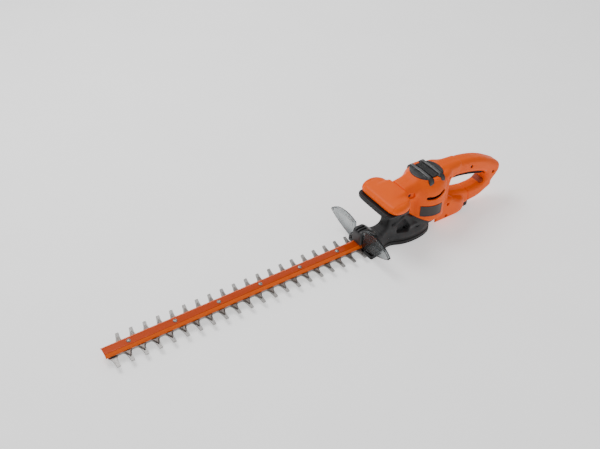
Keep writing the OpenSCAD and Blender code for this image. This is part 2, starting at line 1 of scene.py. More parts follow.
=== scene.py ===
"""An electric hedge trimmer: skins, finishes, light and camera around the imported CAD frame.

Shapes are worked out in millimetres along the axes of the CAD frame, and mesh_object() turns them
into metres.
+X runs from the blade tip to the rear handle and +Z is up. The housing has the same shape on both
sides of y = 0, but for its screw heads.
"""

import json
import math

import bmesh
import bpy
import numpy as np
from mathutils import Matrix, Vector
from mathutils.geometry import delaunay_2d_cdt


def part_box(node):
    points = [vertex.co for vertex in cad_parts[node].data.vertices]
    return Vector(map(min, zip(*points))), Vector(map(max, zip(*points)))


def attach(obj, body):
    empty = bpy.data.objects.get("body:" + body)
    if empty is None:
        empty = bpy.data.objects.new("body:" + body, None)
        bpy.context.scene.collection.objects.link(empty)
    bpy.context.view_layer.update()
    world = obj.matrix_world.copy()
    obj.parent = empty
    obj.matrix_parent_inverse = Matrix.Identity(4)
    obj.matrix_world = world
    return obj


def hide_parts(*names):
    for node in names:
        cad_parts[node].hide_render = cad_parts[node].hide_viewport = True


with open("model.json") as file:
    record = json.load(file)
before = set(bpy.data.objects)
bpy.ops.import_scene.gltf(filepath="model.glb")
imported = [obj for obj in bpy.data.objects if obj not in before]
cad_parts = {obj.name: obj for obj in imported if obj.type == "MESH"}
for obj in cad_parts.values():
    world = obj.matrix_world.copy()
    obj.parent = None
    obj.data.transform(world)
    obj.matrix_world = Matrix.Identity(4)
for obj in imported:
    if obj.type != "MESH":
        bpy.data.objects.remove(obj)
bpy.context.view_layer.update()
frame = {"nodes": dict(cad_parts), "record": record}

MM = 0.001


# ---- places taken from the frame
def box_mm(node):
    """Lowest and highest corner of a CAD node, in millimetres."""
    low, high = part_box(node)
    return [value / MM for value in low], [value / MM for value in high]


def centre_mm(node):
    low, high = box_mm(node)
    return [(a + b) / 2 for a, b in zip(low, high)]


HOUSING_LOW, HOUSING_HIGH = box_mm("housing_right")
BAR_LOW, BAR_HIGH = box_mm("blade_support_bar")
GUARD_LOW, GUARD_HIGH = box_mm("hand_guard")
LOWER_LOW, LOWER_HIGH = box_mm("lower_blade")
UPPER_LOW, UPPER_HIGH = box_mm("upper_blade")
BASE_TOP = box_mm("base_plate")[1][2]
GEAR_X = centre_mm("gear_shaft")[0]
PIVOT = centre_mm("trigger_pin")[::2]
SEAM = 0.12           # half of the gap between the two housing halves
HOUSING_STEP = 1.15   # spacing of the points that the housing is worked out at
WALL = 2.6
HANDLE_HALF = 16.5
POD_R = 43.0
SCREW_HOLE = 1.6      # radius of the hole for a small screw
HEAD_HOLE = 3.2       # and of the recess for its head
FAR_INSIDE = -99      # a distance that leaves an intersection as it is


# ---- distances
def soften(points, reach, steps=5):
    """Closed outline with each corner turned into a curve that starts reach before it."""
    corners = [np.array(point, float) for point in points]
    corners = [a for a, b in zip(corners, corners[1:] + corners[:1]) if np.linalg.norm(b - a) > 1e-6]
    result = []
    for before, corner, after in zip(corners[-1:] + corners[:-1], corners, corners[1:] + corners[:1]):
        back = before - corner
        ahead = after - corner
        start = corner + back * min(reach / np.linalg.norm(back), 0.47)
        stop = corner + ahead * min(reach / np.linalg.norm(ahead), 0.47)
        for t in np.linspace(0, 1, steps):
            result.append((1 - t) ** 2 * start + 2 * t * (1 - t) * corner + t ** 2 * stop)
    return result


def mirrored(points):
    """Closes a list of (u, v) points with v >= 0 by their mirror image across v = 0."""
    return list(points) + [(u, -v) for u, v in reversed(points)]


class Outline:
    """Signed distance to a closed outline, negative inside, looked up in a fine table."""

    CELL = 0.5
    MARGIN = 16.0

    def __init__(self, points, reach=0.0):
        ring = np.array(soften(points, reach) if reach else points, float)
        self.low = ring.min(0) - self.MARGIN
        size = np.ceil((ring.max(0) + self.MARGIN - self.low) / self.CELL).astype(int) + 1
        u = self.low[0] + self.CELL * np.arange(size[0])[:, None]
        v = self.low[1] + self.CELL * np.arange(size[1])[None, :]
        nearest = np.full(size, np.inf)
        inside = np.zeros(size, bool)
        for (au, av), (bu, bv) in zip(ring, np.roll(ring, -1, 0)):
            eu, ev = bu - au, bv - av
            length = eu * eu + ev * ev
            if length < 1e-9:
                continue
            t = np.clip(((u - au) * eu + (v - av) * ev) / length, 0, 1)
            nearest = np.minimum(nearest, (u - au - eu * t) ** 2 + (v - av - ev * t) ** 2)
            if ev:
                crosses = ((av <= v) != (bv <= v)) & (u < au + (v - av) * eu / ev)
                inside ^= crosses
        self.table = np.sqrt(nearest) * np.where(inside, -1, 1)

    def __call__(self, u, v):
        top = np.array(self.table.shape) - 1.001
        cu = (u - self.low[0]) / self.CELL
        cv = (v - self.low[1]) / self.CELL
        iu = np.clip(cu, 0, top[0])
        iv = np.clip(cv, 0, top[1])
        a, b = iu.astype(int), iv.astype(int)
        fu, fv = iu - a, iv - b
        near = self.table[a, b] * (1 - fu) + self.table[a + 1, b] * fu
        far = self.table[a, b + 1] * (1 - fu) + self.table[a + 1, b + 1] * fu
        return near * (1 - fv) + far * fv + self.CELL * (np.abs(cu - iu) + np.abs(cv - iv))


def join(a, b, blend):
    """Union of two distances with a fillet."""
    h = np.clip(0.5 + 0.5 * (b - a) / blend, 0, 1)
    return b + (a - b) * h - blend * h * (1 - h)


def cut(a, b, blend):
    """Distance a with b taken away."""
    return -join(-a, b, blend)


def common(*parts):
    """What all the parts share, with sharp edges."""
    result = parts[0]
    for part in parts[1:]:
        result = np.maximum(result, part)
    return result


def less(a, *parts):
    """Distance a with what the parts share taken away, with sharp edges."""
    return np.maximum(a, -common(*parts))


def scored(solid, track, depth, blend, *limits):
    """A solid with a groove of the given depth along a track, within the limits."""
    return cut(solid, common(track, -solid - depth, *limits), blend)


def meet(a, b, radius):
    """Intersection of two distances with a round edge."""
    outside = np.hypot(np.maximum(a + radius, 0), np.maximum(b + radius, 0))
    return np.minimum(np.maximum(a + radius, b + radius), 0) + outside - radius


def between(value, low, high):
    """Distance to a slab, negative between low and high."""
    return np.abs(value - (low + high) / 2) - (high - low) / 2


def block(x, y, z, low, high, radius=0.0):
    """Box with round edges."""
    dx = between(x, low[0], high[0]) + radius
    dy = between(y, low[1], high[1]) + radius
    dz = between(z, low[2], high[2]) + radius
    outside = np.sqrt(np.maximum(dx, 0) ** 2 + np.maximum(dy, 0) ** 2 + np.maximum(dz, 0) ** 2)
    return outside + np.minimum(np.maximum(dx, np.maximum(dy, dz)), 0) - radius


def pin(u, v, centre, radius):
    """Endless round bar at centre of the (u, v) plane."""
    return np.hypot(u - centre[0], v - centre[1]) - radius


def rod(x, y, z, a, b, radius):
    """Bar with round ends from a to b."""
    a, b = np.array(a, float), np.array(b, float)
    along = b - a
    t = ((x - a[0]) * along[0] + (y - a[1]) * along[1] + (z - a[2]) * along[2]) / along.dot(along)
    t = np.clip(t, 0, 1)
    gap = (x - a[0] - t * along[0]) ** 2 + (y - a[1] - t * along[1]) ** 2 + (z - a[2] - t * along[2]) ** 2
    return np.sqrt(gap) - radius


def bent_line(u, v, points, radius):
    """Distance to a bent line in the (u, v) plane, thickened by radius."""
    result = np.inf
    for (au, av), (bu, bv) in zip(points[:-1], points[1:]):
        eu, ev = bu - au, bv - av
        t = np.clip(((u - au) * eu + (v - av) * ev) / (eu * eu + ev * ev), 0, 1)
        result = np.minimum(result, np.hypot(u - au - eu * t, v - av - ev * t) - radius)
    return result


# ---- skins
SETTLING = 2          # times that the vertices are moved back onto their field
TINY = 0.01           # distance given to the border of the box, so that the skin closes there


def skin(field, low, high, step):
    """Vertices and quads of the closed surface where field is 0, inside a box, in millimetres."""
    axes = [np.arange(low[i] - step, high[i] + 2 * step, step) for i in range(3)]
    shape = tuple(len(axis) for axis in axes)
    values = np.broadcast_to(field(*np.meshgrid(*axes, indexing="ij", sparse=True)), shape)
    values = np.array(values, np.float32)
    for axis in range(3):
        layers = values.swapaxes(0, axis)
        layers[[0, -1]] = np.maximum(layers[[0, -1]], TINY)
    inside = values < 0
    count = np.zeros(tuple(n - 1 for n in shape), np.int8)
    for i, j, k in np.ndindex(2, 2, 2):
        count += inside[i:shape[0] - 1 + i, j:shape[1] - 1 + j, k:shape[2] - 1 + k]
    mixed = (count > 0) & (count < 8)
    cells = np.argwhere(mixed)
    number = np.full(mixed.shape, -1, np.int64)
    number[mixed] = np.arange(len(cells))
    total = np.zeros((len(cells), 3))
    hits = np.zeros(len(cells))
    faces = []
    for axis in range(3):
        first, second = (axis + 1) % 3, (axis + 2) % 3
        unit = np.eye(3, dtype=int)[axis]
        for a, b in np.ndindex(2, 2):
            start = np.zeros(3, int)
            start[first], start[second] = a, b
            v0 = values[tuple((cells + start).T)]
            v1 = values[tuple((cells + start + unit).T)]
            crossed = (v0 < 0) != (v1 < 0)
            t = np.where(crossed, v0 / np.where(crossed, v0 - v1, 1), 0)
            total += (start + t[:, None] * unit) * crossed[:, None]
            hits += crossed
        lower = [slice(None)] * 3
        upper = [slice(None)] * 3
        lower[axis], upper[axis] = slice(None, -1), slice(1, None)
        edges = np.argwhere(inside[tuple(lower)] != inside[tuple(upper)])
        back = np.zeros(3, int)
        quad = []
        for a, b in ((1, 1), (0, 1), (0, 0), (1, 0)):
            back[first], back[second] = a, b
            quad.append(number[tuple((edges - back).T)])
        quad = np.array(quad).T
        leaving = inside[tuple(edges.T)]
        faces.append(np.where(leaving[:, None], quad, quad[:, ::-1]))
    faces = np.concatenate(faces)
    origin = np.array([axis[0] for axis in axes])
    points = (cells + total / hits[:, None]) * step + origin
    points = relax(points, faces)
    for _ in range(SETTLING):
        points = onto(field, points, step)
    return points, faces


def relax(points, faces):
    """Moves each vertex half way to the mean of its neighbours."""
    total = np.zeros_like(points)
    count = np.zeros(len(points))
    for a in range(4):
        for b in (faces[:, (a + 1) % 4], faces[:, (a + 3) % 4]):
            np.add.at(total, faces[:, a], points[b])
            np.add.at(count, faces[:, a], 1)
    return (points + total / count[:, None]) / 2


def onto(field, points, step):
    """Moves vertices onto the surface along the field's slope."""
    reach = 0.12
    here = field(*points.T)
    slope = np.stack([
        field(*(points + reach * unit).T) - field(*(points - reach * unit).T) for unit in np.eye(3)
    ], 1) / (2 * reach)
    steep = np.maximum((slope ** 2).sum(1), 0.25)
    move = -slope * (here / steep)[:, None]
    length = np.linalg.norm(move, axis=1)
    return points + move * np.minimum(1, 0.5 * step / np.maximum(length, 1e-9))[:, None]


def mesh_object(name, points, faces, sharp=35):
    """Object from millimetre points, smooth but for edges above the sharp angle in degrees."""
    mesh = bpy.data.meshes.new(name)
    mesh.from_pydata((np.asarray(points, float) * MM).tolist(), [], [list(map(int, f)) for f in faces])
    mesh.validate()
    mesh.shade_smooth()
    mesh.set_sharp_from_angle(angle=math.radians(sharp))
    piece = bpy.data.objects.new(name, mesh)
    bpy.context.scene.collection.objects.link(piece)
    return piece


def finish(piece, body, slot, finish_material, *nodes):
    """Gives a piece its material and its body, and hides the CAD nodes that it stands for; slot is not used.
    """
    piece.data.materials.clear()
    piece.data.materials.append(finish_material)
    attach(piece, body)
    if nodes:
        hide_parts(*nodes)


def flipped(points, faces):
    """Mirror image of a skin across y = 0."""
    return points * (1, -1, 1), faces[:, ::-1]


def build(name, field, low, high, step, slot, *nodes, own=None, body="housing", sharp=35, flip=False):
    """Skins a field inside a box. The piece takes its slot's finish, or one of its own."""
    points, faces = skin(field, low, high, step)
    if flip:
        points, faces = flipped(points, faces)
    finish(mesh_object(name, points, faces, sharp), body, slot, look(own or slot), *nodes)


def unpacked(bm):
    """Vertices and faces of a bmesh, which is freed."""
    bm.verts.index_update()
    points = [tuple(vert.co) for vert in bm.verts]
    faces = [[vert.index for vert in face.verts] for face in bm.faces]
    bm.free()
    return points, faces


def half_of(points, faces, side):
    """One half of a skin, cut crisply at the seam and closed there. side is 1 for +Y, -1 for -Y."""
    bm = bmesh.new()
    verts = [bm.verts.new(point) for point in points]
    for face in faces:
        bm.faces.new([verts[i] for i in face])
    result = bmesh.ops.bisect_plane(
        bm, geom=list(bm.verts) + list(bm.edges) + list(bm.faces), dist=1e-4,
        plane_co=(0, SEAM * side, 0), plane_no=(0, -side, 0), clear_outer=True)
    rim = [item for item in result["geom_cut"] if isinstance(item, bmesh.types.BMEdge)]
    bmesh.ops.triangle_fill(bm, edges=rim, use_beauty=True, normal=(0, -side, 0))
    return unpacked(bm)


def encloses(loop, place):
    """Whether a loop of vertices runs around a place, seen from above."""
    odd = False
    for a, b in zip(loop, loop[1:] + loop[:1]):
        (ax, ay), (bx, by) = a.co.to_2d(), b.co.to_2d()
        if (ay <= place.y) != (by <= place.y) and place.x < ax + (place.y - ay) * (bx - ax) / (by - ay):
            odd = not odd
    return odd


PLATE_SHARP = 30


def plate(name, levels, holes=()):
    """Closed plate. levels is a list of (z, outline) with equal counts, from the bottom up."""
    bm = bmesh.new()

    def ring(outline, z):
        return [bm.verts.new((u, v, z)) for u, v in outline]

    def wall(lower, upper):
        for i in range(len(lower)):
            j = (i + 1) % len(lower)
            bm.faces.new((lower[i], lower[j], upper[j], upper[i]))

    def close(loops):
        """Fills between the first loop, which is the outside, and the holes."""
        verts = [vert for loop in loops for vert in loop]
        edges, start = [], 0
        for loop in loops:
            edges += [(start + i, start + (i + 1) % len(loop)) for i in range(len(loop))]
            start += len(loop)
        filled = delaunay_2d_cdt([vert.co.to_2d() for vert in verts], edges, [], 1, 1e-5)
        source = [known[0] for known in filled[3]]
        for face in filled[2]:
            corners = [verts[source[i]] for i in face]
            middle = sum((vert.co for vert in corners), Vector()) / 3
            if not any(encloses(loop, middle) for loop in loops[1:]):
                bm.faces.new(corners)

    rings = [ring(outline, z) for z, outline in levels]
    for lower, upper in zip(rings[:-1], rings[1:]):
        wall(lower, upper)
    bottom, top = [rings[0]], [rings[-1]]
    for hole in holes:
        low, high = ring(hole, levels[0][0]), ring(hole, levels[-1][0])
        wall(high, low)
        bottom.append(low)
        top.append(high)
    close(bottom)
    close(top)
    bmesh.ops.recalc_face_normals(bm, faces=bm.faces)
    return mesh_object(name, *unpacked(bm), PLATE_SHARP)


# ---- orange housing
LOOP_OUTER = Outline([
    (-8, 40), (-8, 127), (20, 128.5), (37, 129), (54, 128.5), (83, 126.5), (100, 123.8), (114, 120.6),
    (130, 115.8), (146, 109.4), (160, 102), (172, 95.5), (181, 90), (186.5, 85.5), (189.2, 80),
    (189.6, 74), (188, 67.5), (182, 58.5), (175, 51.5), (172.4, 47), (173.5, 38), (163, 32.5),
    (155, 28.5), (142, 22), (131, 19.4), (120, 18.2), (104, 16.4), (84, 14.2), (30, 14.2)], 3)
LOOP_INNER = Outline([
    (50, 66), (48.5, 70), (47.5, 76), (47, 86), (48, 93), (53, 96.5), (60, 97.5), (70, 96.8), (82, 95),
    (104, 91), (118, 87.5), (129, 84), (140, 80), (147.6, 75), (151, 69), (151, 62.5), (147.5, 57.5),
    (142.5, 54), (137, 52), (128, 50.9), (116, 50.7), (104, 51.6), (90, 54.6), (78, 57.1),
    (66, 59.6), (56, 62)], 4)
POD = Outline([
    (-60, 39), (41.2, 39), (43, 41), (43, 98), (42.3, 106), (40, 114.5), (36.5, 120.5), (33.6, 123.6),
    (33.2, 126.4), (31, 127.2), (-60, 127.2)], 2.4)
FAIRING_SIDE = Outline([
    (-20, 42), (52, 42), (52.5, 52), (50, 58), (48.5, 66), (47.5, 76), (47, 86), (48, 93), (53, 96.5),
    (60, 97.5), (72, 104), (76, 127), (-20, 126)], 2)
FAIRING_PLAN = Outline(mirrored([
    (-10, 30.4), (28, 30.4), (34, 29.2), (40, 26), (47, 21.4), (54, 18.4), (64, 16.8), (78, 16)]), 5)
BULGE_SIDE = Outline([
    (0, 14), (80, 14), (92, 16), (99, 20), (101.6, 28), (99.5, 36), (92, 43), (78, 48), (66, 52),
    (56, 58), (48, 63), (0, 66)], 5)
BULGE_PLAN = Outline(mirrored([
    (-6, 31.4), (60, 31.6), (72, 31.4), (84, 28.8), (93, 22.5), (99.5, 13), (101.6, 0)]), 6)
NECK_SIDE = Outline([
    (-64, 84), (-64, 118), (-59, 119), (-44, 121), (-35, 124.5), (-26, 126), (-10, 126.4), (-10, 42),
    (-24, 44), (-40, 51), (-54, 62)], 4)
UNDER_LINE = Outline([
    (-130, -20), (-130, 87), (-76, 87), (-66, 74), (-54, 62), (-40, 51), (-24, 44), (-12, 38.7),
    (14.4, 38.7), (14.4, -20)])
TRIGGER_SLOT = Outline([
    (48.2, 84), (48.2, 104), (60, 110), (82, 108), (104, 104), (129, 98), (150, 92), (157, 88),
    (157.5, 78), (155, 72), (148, 70), (140, 66)], 1.5)
NECK_POCKET = Outline([
    (-62, 101), (-47, 98.5), (-44.5, 100.5), (-44.8, 107), (-47.5, 109.6), (-62, 111)], 2)
NECK_TOP_AT = [-64, -59, -44, -35, -26]
NECK_TOP = [118, 119, 121, 124.5, 126.4]
VENT_LINE = [(-20, 93), (-9, 92.8), (2, 95.6), (12, 101.5)]
# Screw bosses as x, z and the depth of the screw head from the middle.
BOSSES = [(40, 24, 22), (40, 52, 22), (38, 112, 22), (104, 107, 12), (169, 72, 12), (-56, 105, 20)]
BOSS_R = 4.2
BOSS_RECESS = 3.3
CAP_OPENING = 30.2    # radius of the hole under the vent cap
LOWER_OPENING = 30.3  # and of the hole in the lower face
TRIGGER_ROOM = 10.4   # half width of the slot for the trigger
RETAINER_AT = (145.8, 53.2)
RETAINER_TILT = 46
LABEL_ANGLES = (-136, -74)
LABEL_LEVELS = (51.6, 75.6)
ARC = 0.75            # millimetres to a degree around the pod


def body_solid(x, y, z):
    """The orange body as a full solid, before its under side is cut."""
    ay = np.abs(y)
    pod = POD(np.hypot(x, y), z)
    ring = less(LOOP_OUTER(x, z), LOOP_INNER(x, z))
    handle = meet(ring, ay - HANDLE_HALF, 10)
    fairing = meet(FAIRING_SIDE(x, z), FAIRING_PLAN(x, y), 9)
    bulge = meet(BULGE_SIDE(x, z), BULGE_PLAN(x, y), 9)
    waist = 18.5 + 8.5 / (1 + np.exp((91 - z) / 2.4))
    neck = meet(NECK_SIDE(x, z), ay - waist, 5)
    shoulder = 0.755 * (ay - 16) + 0.656 * (z - np.interp(x, NECK_TOP_AT, NECK_TOP))
    neck = meet(neck, shoulder, 3)
    pocket = meet(NECK_POCKET(x, z), 23.4 - ay, 0.8)
    neck = cut(neck, pocket, 0.8)
    grip = join(handle, fairing, 5)
    grip = join(grip, bulge, 2.5)
    body = join(join(grip, pod, 0.8), neck, 5)
    return scored(body, np.abs(grip - pod) - 0.9, 0.8, 0.6, 16 - x)


def retainer_field(x, y, z, grow=0):
    """Oval plug in the rear corner of the loop, facing forward and up."""
    turn = math.radians(RETAINER_TILT)
    along = (x - RETAINER_AT[0]) * math.cos(turn) - (z - RETAINER_AT[1]) * math.sin(turn)
    up = (x - RETAINER_AT[0]) * math.sin(turn) + (z - RETAINER_AT[1]) * math.cos(turn)
    oval = meet(np.hypot(y * 0.78, up) - 9.8 - grow, np.abs(up) - 6.2 - grow, 2.4)
    plug = meet(oval, np.abs(along) - 3 - grow, 0.8)
    if grow:
        return plug
    for k in (-1, 0, 1):
        plug = cut(plug, common(np.abs(up - 3 * k) - 0.5, along + 2, np.abs(y) - 8), 0.3)
    return plug


def housing_field(has_heads):
    """Field of the hollow housing for y >= 0. The half with the screw heads has their recesses."""

    def field(x, y, z):
        ay = np.abs(y)
        radius = np.hypot(x, y)
        solid = body_solid(x, y, z)
        shell = cut(solid, UNDER_LINE(x, z), 0.8)
        step = np.abs(x - 104 + 0.12 * (z - 44) - 0.2 * y) - 1.2
        shell = cut(shell, common(step, z - 60, -solid - 1.7), 0.6)
        around = np.degrees(np.arctan2(-ay, x))
        label = meet(ARC * between(around, *LABEL_ANGLES), between(z, *LABEL_LEVELS), 1.5)
        shell = cut(shell, common(label, POD_R - 0.95 - radius), 0.4)
        cavity = solid + WALL
        for bx, bz, depth in BOSSES:
            cavity = less(cavity, pin(x, z, (bx, bz), BOSS_R))
        shell = less(shell, cavity, WALL - UNDER_LINE(x, z))
        tongue = common(np.abs(x) - 6.2, 25.2 - ay)
        shell = cut(shell, less(common(radius - CAP_OPENING, 110 - z), tongue), 0.5)
        shell = less(shell, radius - LOWER_OPENING, z - 45)
        shell = cut(shell, common(bent_line(x, z, VENT_LINE, 3.5), 27 - ay), 0.9)
        shell = cut(shell, common(ay - TRIGGER_ROOM, TRIGGER_SLOT(x, z)), 0.9)
        shell = cut(shell, block(x, y, z, (70, -14.3, 8), (130, 14.3, 24.3)), 0.5)
        shell = cut(shell, block(x, y, z, (-70, -7, 97), (-60, 7, 107)), 0.5)
        shell = cut(shell, retainer_field(x, y, z, 0.35), 0.6)
        shell = less(shell, pin(x, z, PIVOT, SCREW_HOLE), ay - 15.1)
        for bx, bz, depth in BOSSES:
            hole = pin(x, z, (bx, bz), SCREW_HOLE)
            if has_heads:
                shell = cut(less(shell, hole), common(pin(x, z, (bx, bz), BOSS_RECESS), depth - ay), 0.8)
            else:
                shell = less(shell, hole, ay - 10)
        return shell

    return field


def make_housing():
    """Both halves of the housing, cut crisply at the seam between them."""
    low = (HOUSING_LOW[0] - 1, -3.0, HOUSING_LOW[2] - 1)
    high = (HOUSING_HIGH[0] + 1, HOUSING_HIGH[1] + 1, HOUSING_HIGH[2] + 1)
    for node, side in (("housing_left", -1), ("housing_right", 1)):
        points, faces = skin(housing_field(side < 0), low, high, HOUSING_STEP)
        if side < 0:
            points, faces = flipped(points, faces)
        piece = mesh_object(node + "_shell", *half_of(points, faces, side))
        finish(piece, "housing", "orange_plastic", look("orange_plastic"), node)


# ---- front handle
FRONT_SIDE = Outline([
    (-117, 97), (-117, 101.5), (-115, 107), (-109, 111.2), (-99, 113.8), (-88, 115), (-76, 115),
    (-68, 113.4), (-64.4, 110), (-64.4, 97)], 3)
FRONT_PLAN = Outline(mirrored([
    (-117, 0), (-117, 30), (-115.5, 41), (-111.5, 48), (-105, 52), (-96, 53.8), (-86, 53.4), (-77, 50),
    (-70, 43.5), (-65.6, 37), (-64.4, 31), (-64.4, 0)]), 5)
FRONT_CROWN = Outline([(-99, 100), (-97, 109), (-86, 113), (-72, 117.2), (-64.4, 118.3), (-64.4, 100)], 5)
FRONT_FLOOR = 97
FRONT_SCREW = (-81, 30)
SPRING_AT = (30, 92)
SPRING_POCKET = 3.6


def front_shell_field(x, y, z):
    """Hollow upper shell of the front handle, open below."""
    ay = np.abs(y)
    rise = np.maximum(ay - 40, 0) * 0.25
    solid = meet(FRONT_SIDE(x, z + rise * 0.35), FRONT_PLAN(x, y), 7)
    crown = meet(FRONT_CROWN(x, z), ay - 26.5, 5)
    solid = join(solid, crown, 7)
    solid = cut(solid, rod(x, y, z, (-118.6, -60, 100), (-118.6, 60, 100), 1.4), 1.2)
    solid = scored(solid, np.abs(ay - 44.5) - 0.5, 0.7, 0.5, 103 - z)
    away = pin(x, ay, FRONT_SCREW, 0)
    shell = less(common(solid, FRONT_FLOOR - z), solid + WALL, 90 - z, 4 - away)
    shell = less(shell, away - SCREW_HOLE, z - 108)
    return less(shell, block(x, y, z, (-68.5, -7, 90), (-60, 7, 104)))


BASE_SIDE = Outline([(-96.5, 89), (-96.5, 96.8), (-66, 96.8), (-66, 89), (-70, 86.1), (-93, 86.1)], 1.5)


def front_base_field(x, y, z):
    """Floor of the front handle, with recesses for its screws and for the springs."""
    ay = np.abs(y)
    solid = meet(BASE_SIDE(x, z - np.maximum(ay - 36, 0) * 0.3), ay - 50, 4)
    solid = common(solid, z - FRONT_FLOOR + 0.2, FRONT_PLAN(x, y) + 0.6)
    away = pin(x, ay, FRONT_SCREW, 0)
    solid = less(solid, away - SCREW_HOLE)
    solid = less(solid, away - HEAD_HOLE, z - 89)
    return less(solid, pin(ay, z, SPRING_AT, SPRING_POCKET), np.abs(x + 95) - 4)


BAR_SIDE = Outline([
    (-123.2, 88), (-124, 90.5), (-124, 95), (-122.8, 97.2), (-121.6, 98), (-120.4, 98),
    (-120.4, 96.5), (-100, 96.5), (-100, 88), (-103, 85.2), (-119, 85.2)], 1.2)
BAR_FRONT = Outline(mirrored([
    (101, 0), (101, 46), (99, 49.6), (95, 50), (91.6, 46.5), (89.4, 39), (87, 28), (85.5, 15),
    (85, 0)]), 3)
BAR_PLAN = Outline(mirrored([
    (-125, 0), (-125, 34), (-122.6, 41.5), (-117.5, 47.5), (-110, 50.4), (-98, 50.4), (-98, 0)]), 4)
RIB_PITCH = 2.6


def switch_bar_field(x, y, z):
    """Ribbed bar along the front of the handle, with a tongue and two spring pockets."""
    ay = np.abs(y)
    solid = meet(meet(BAR_SIDE(x, z), BAR_FRONT(z, y), 2.4), BAR_PLAN(x, y), 2)
    ribs = 0.34 * np.cos(2 * np.pi * y / RIB_PITCH)
    grip = np.clip((96.2 - z) / 1.2, 0, 1) * np.clip((-117 - x) / 2, 0, 1)
    grip = grip * np.clip((46 - ay) / 2, 0, 1)
    solid = solid + grip * (0.42 - ribs)
    solid = join(solid, block(x, y, z, (-106, -5, 94), (-101, 5, 104.5), 0.8), 0.8)
    return less(solid, pin(ay, z, SPRING_AT, SPRING_POCKET), -103 - x)


# ---- gear housing
HOUSING_FRONT = -144.5
BASE_HALF = [
    (HOUSING_FRONT, 0), (HOUSING_FRONT, 36.5), (-136, 35.6), (-124, 34), (-113, 30.5), (-106, 26),
    (-98, 23.4), (-90, 23.2), (-82, 25.4), (-71, 30.3), (-60, 33.4), (-46, 35), (-30, 34.8), (-14, 32.4),
    (-2, 28.4), (6, 23), (11.4, 16), (14, 8), (14.4, 0)]
BASE_PLAN = Outline(mirrored(BASE_HALF), 5)
COLUMN_SIDE = Outline([
    (-112, 12), (-112, 28.5), (-102, 30), (-94, 34), (-90, 42), (-89, 54), (-89, 76), (-90, 85.9),
    (-76, 85.9), (-66.3, 73.8), (-54.3, 61.6), (-40.3, 50.6), (-24.3, 43.6), (-12, 38.4), (-12, 12)], 1.5)
COLUMN_PLAN = Outline(mirrored([
    (-113, 0), (-113, 13), (-90, 12.6), (-84, 15), (-74, 20), (-10, 20), (-10, 0)]), 3)
COLUMN_HOLLOW = Outline([(-85.5, 36), (-85.5, 80), (-79, 80), (-70, 68), (-76, 52), (-77, 38)], 2)
UPPER_REST = Outline([
    (-130, 86), (-76, 86), (-66, 74), (-54, 61.9), (-40, 50.9), (-24, 43.9), (-12, 38.6), (18, 38.6),
    (18, 100), (-130, 100)])
COLLAR_SIDE = Outline([
    (-60, 33), (-54.3, 61.6), (-40.3, 50.6), (-24.3, 43.6), (-12, 38.4), (-12, 33)], 0.8)
SIDE_POCKET = Outline([(-75, 24), (-50, 22), (-45.5, 34), (-56, 48), (-62, 50), (-72, 44)], 3)
TOP_AT = [-150, -143, -134, -122, -110, -100, -92, -84, -74, -50, -10, 6, 12, 16]
TOP_LEVEL = [20, 23.5, 27.5, 29, 29.3, 30.2, 33.5, 37.5, 39, 38.8, 38.4, 37.6, 35, 31]
SLOPE_AT = [4, 7, 12, 17, 22, 28, 34, 40]
SLOPE_INSET = [0.3, 0.5, 1.6, 3.6, 6.4, 9.6, 12.2, 14]
BASE_SCREWS = [(-126, 27), (-91, 18.3), (-52, 28.5)]
BRACKET_SCREW = (-119, 7.5)
CAVITY_TOP = 15.6
BLADE_ROOM = 13.6     # half width of the passage that the blades come out of
MOTOR_ROOM = 35.5     # radius of the space for the motor
MOTOR_SEAT = 41.5     # level that the motor stands on


def gear_housing_field(x, y, z):
    """Flange on the base cover, the column up to the front handle and the seat of the motor."""
    ay = np.abs(y)
    radius = np.hypot(x, y)
    plan = BASE_PLAN(x, y)
    skirt = (plan + np.interp(z, SLOPE_AT, SLOPE_INSET)) * 0.85
    crown = 0.0022 * ay ** 2 * np.clip((-96 - x) / 20, 0, 1)
    solid = cut(skirt, -(z - np.interp(x, TOP_AT, TOP_LEVEL) + crown), 5)
    solid = join(solid, meet(COLUMN_SIDE(x, z), COLUMN_PLAN(x, y), 5), 7)
    collar = common(radius - (POD_R - 1.4), 33 - z, COLLAR_SIDE(x, z), MOTOR_ROOM - radius)
    solid = join(solid, collar, 1.5)
    solid = join(solid, rod(x, ay, z, (-80, 17, 42), (-62, 20, 57), 3.2), 2.5)
    solid = join(solid, rod(x, ay, z, (-46, 24, 31), (-14, 27, 34), 2.6), 5)
    solid = scored(solid, np.abs(x + 105.5) - 0.6, 0.9, 0.5, 22 - z)
    solid = cut(solid, common(meet(SIDE_POCKET(x, z), 14.5 - ay, 1), ay - 34), 1.4)
    solid = cut(solid, common(UPPER_REST(x, z), radius - 60), 0.4)
    solid = join(solid, meet(radius - 30, between(z, 24, MOTOR_SEAT), 0.8), 0.8)
    # Room for the blades, the gears and bearings, and the motor.
    solid = less(solid, plan + 3, z - CAVITY_TOP, ay - 24, -73 - x)
    solid = less(solid, block(x, y, z, (HOUSING_FRONT - 6, -BLADE_ROOM, -5), (-59, BLADE_ROOM, 20.6)))
    solid = less(solid, block(x, y, z, (HOUSING_FRONT - 6, -35, 8.5), (-139, 35, 15.1)))
    around_gear = np.hypot(x - GEAR_X, y)
    solid = less(solid, around_gear - 26.35, between(z, 10, 25))
    solid = less(solid, around_gear - 7, between(z, 20, 33))
    solid = less(solid, radius - 9.5, between(z, 10, 34.4))
    solid = less(solid, radius - 6, between(z, 30, 50))
    solid = less(solid, radius - MOTOR_ROOM, MOTOR_SEAT - z)
    solid = less(solid, meet(COLUMN_HOLLOW(x, z), ay - 9, 1))
    for place in BASE_SCREWS:
        solid = less(solid, pin(x, ay, place, SCREW_HOLE), z - 17)
    solid = less(solid, pin(x, ay, BRACKET_SCREW, SCREW_HOLE), between(z, 21.5, 40))
    return common(solid, BASE_TOP + 0.1 - z)


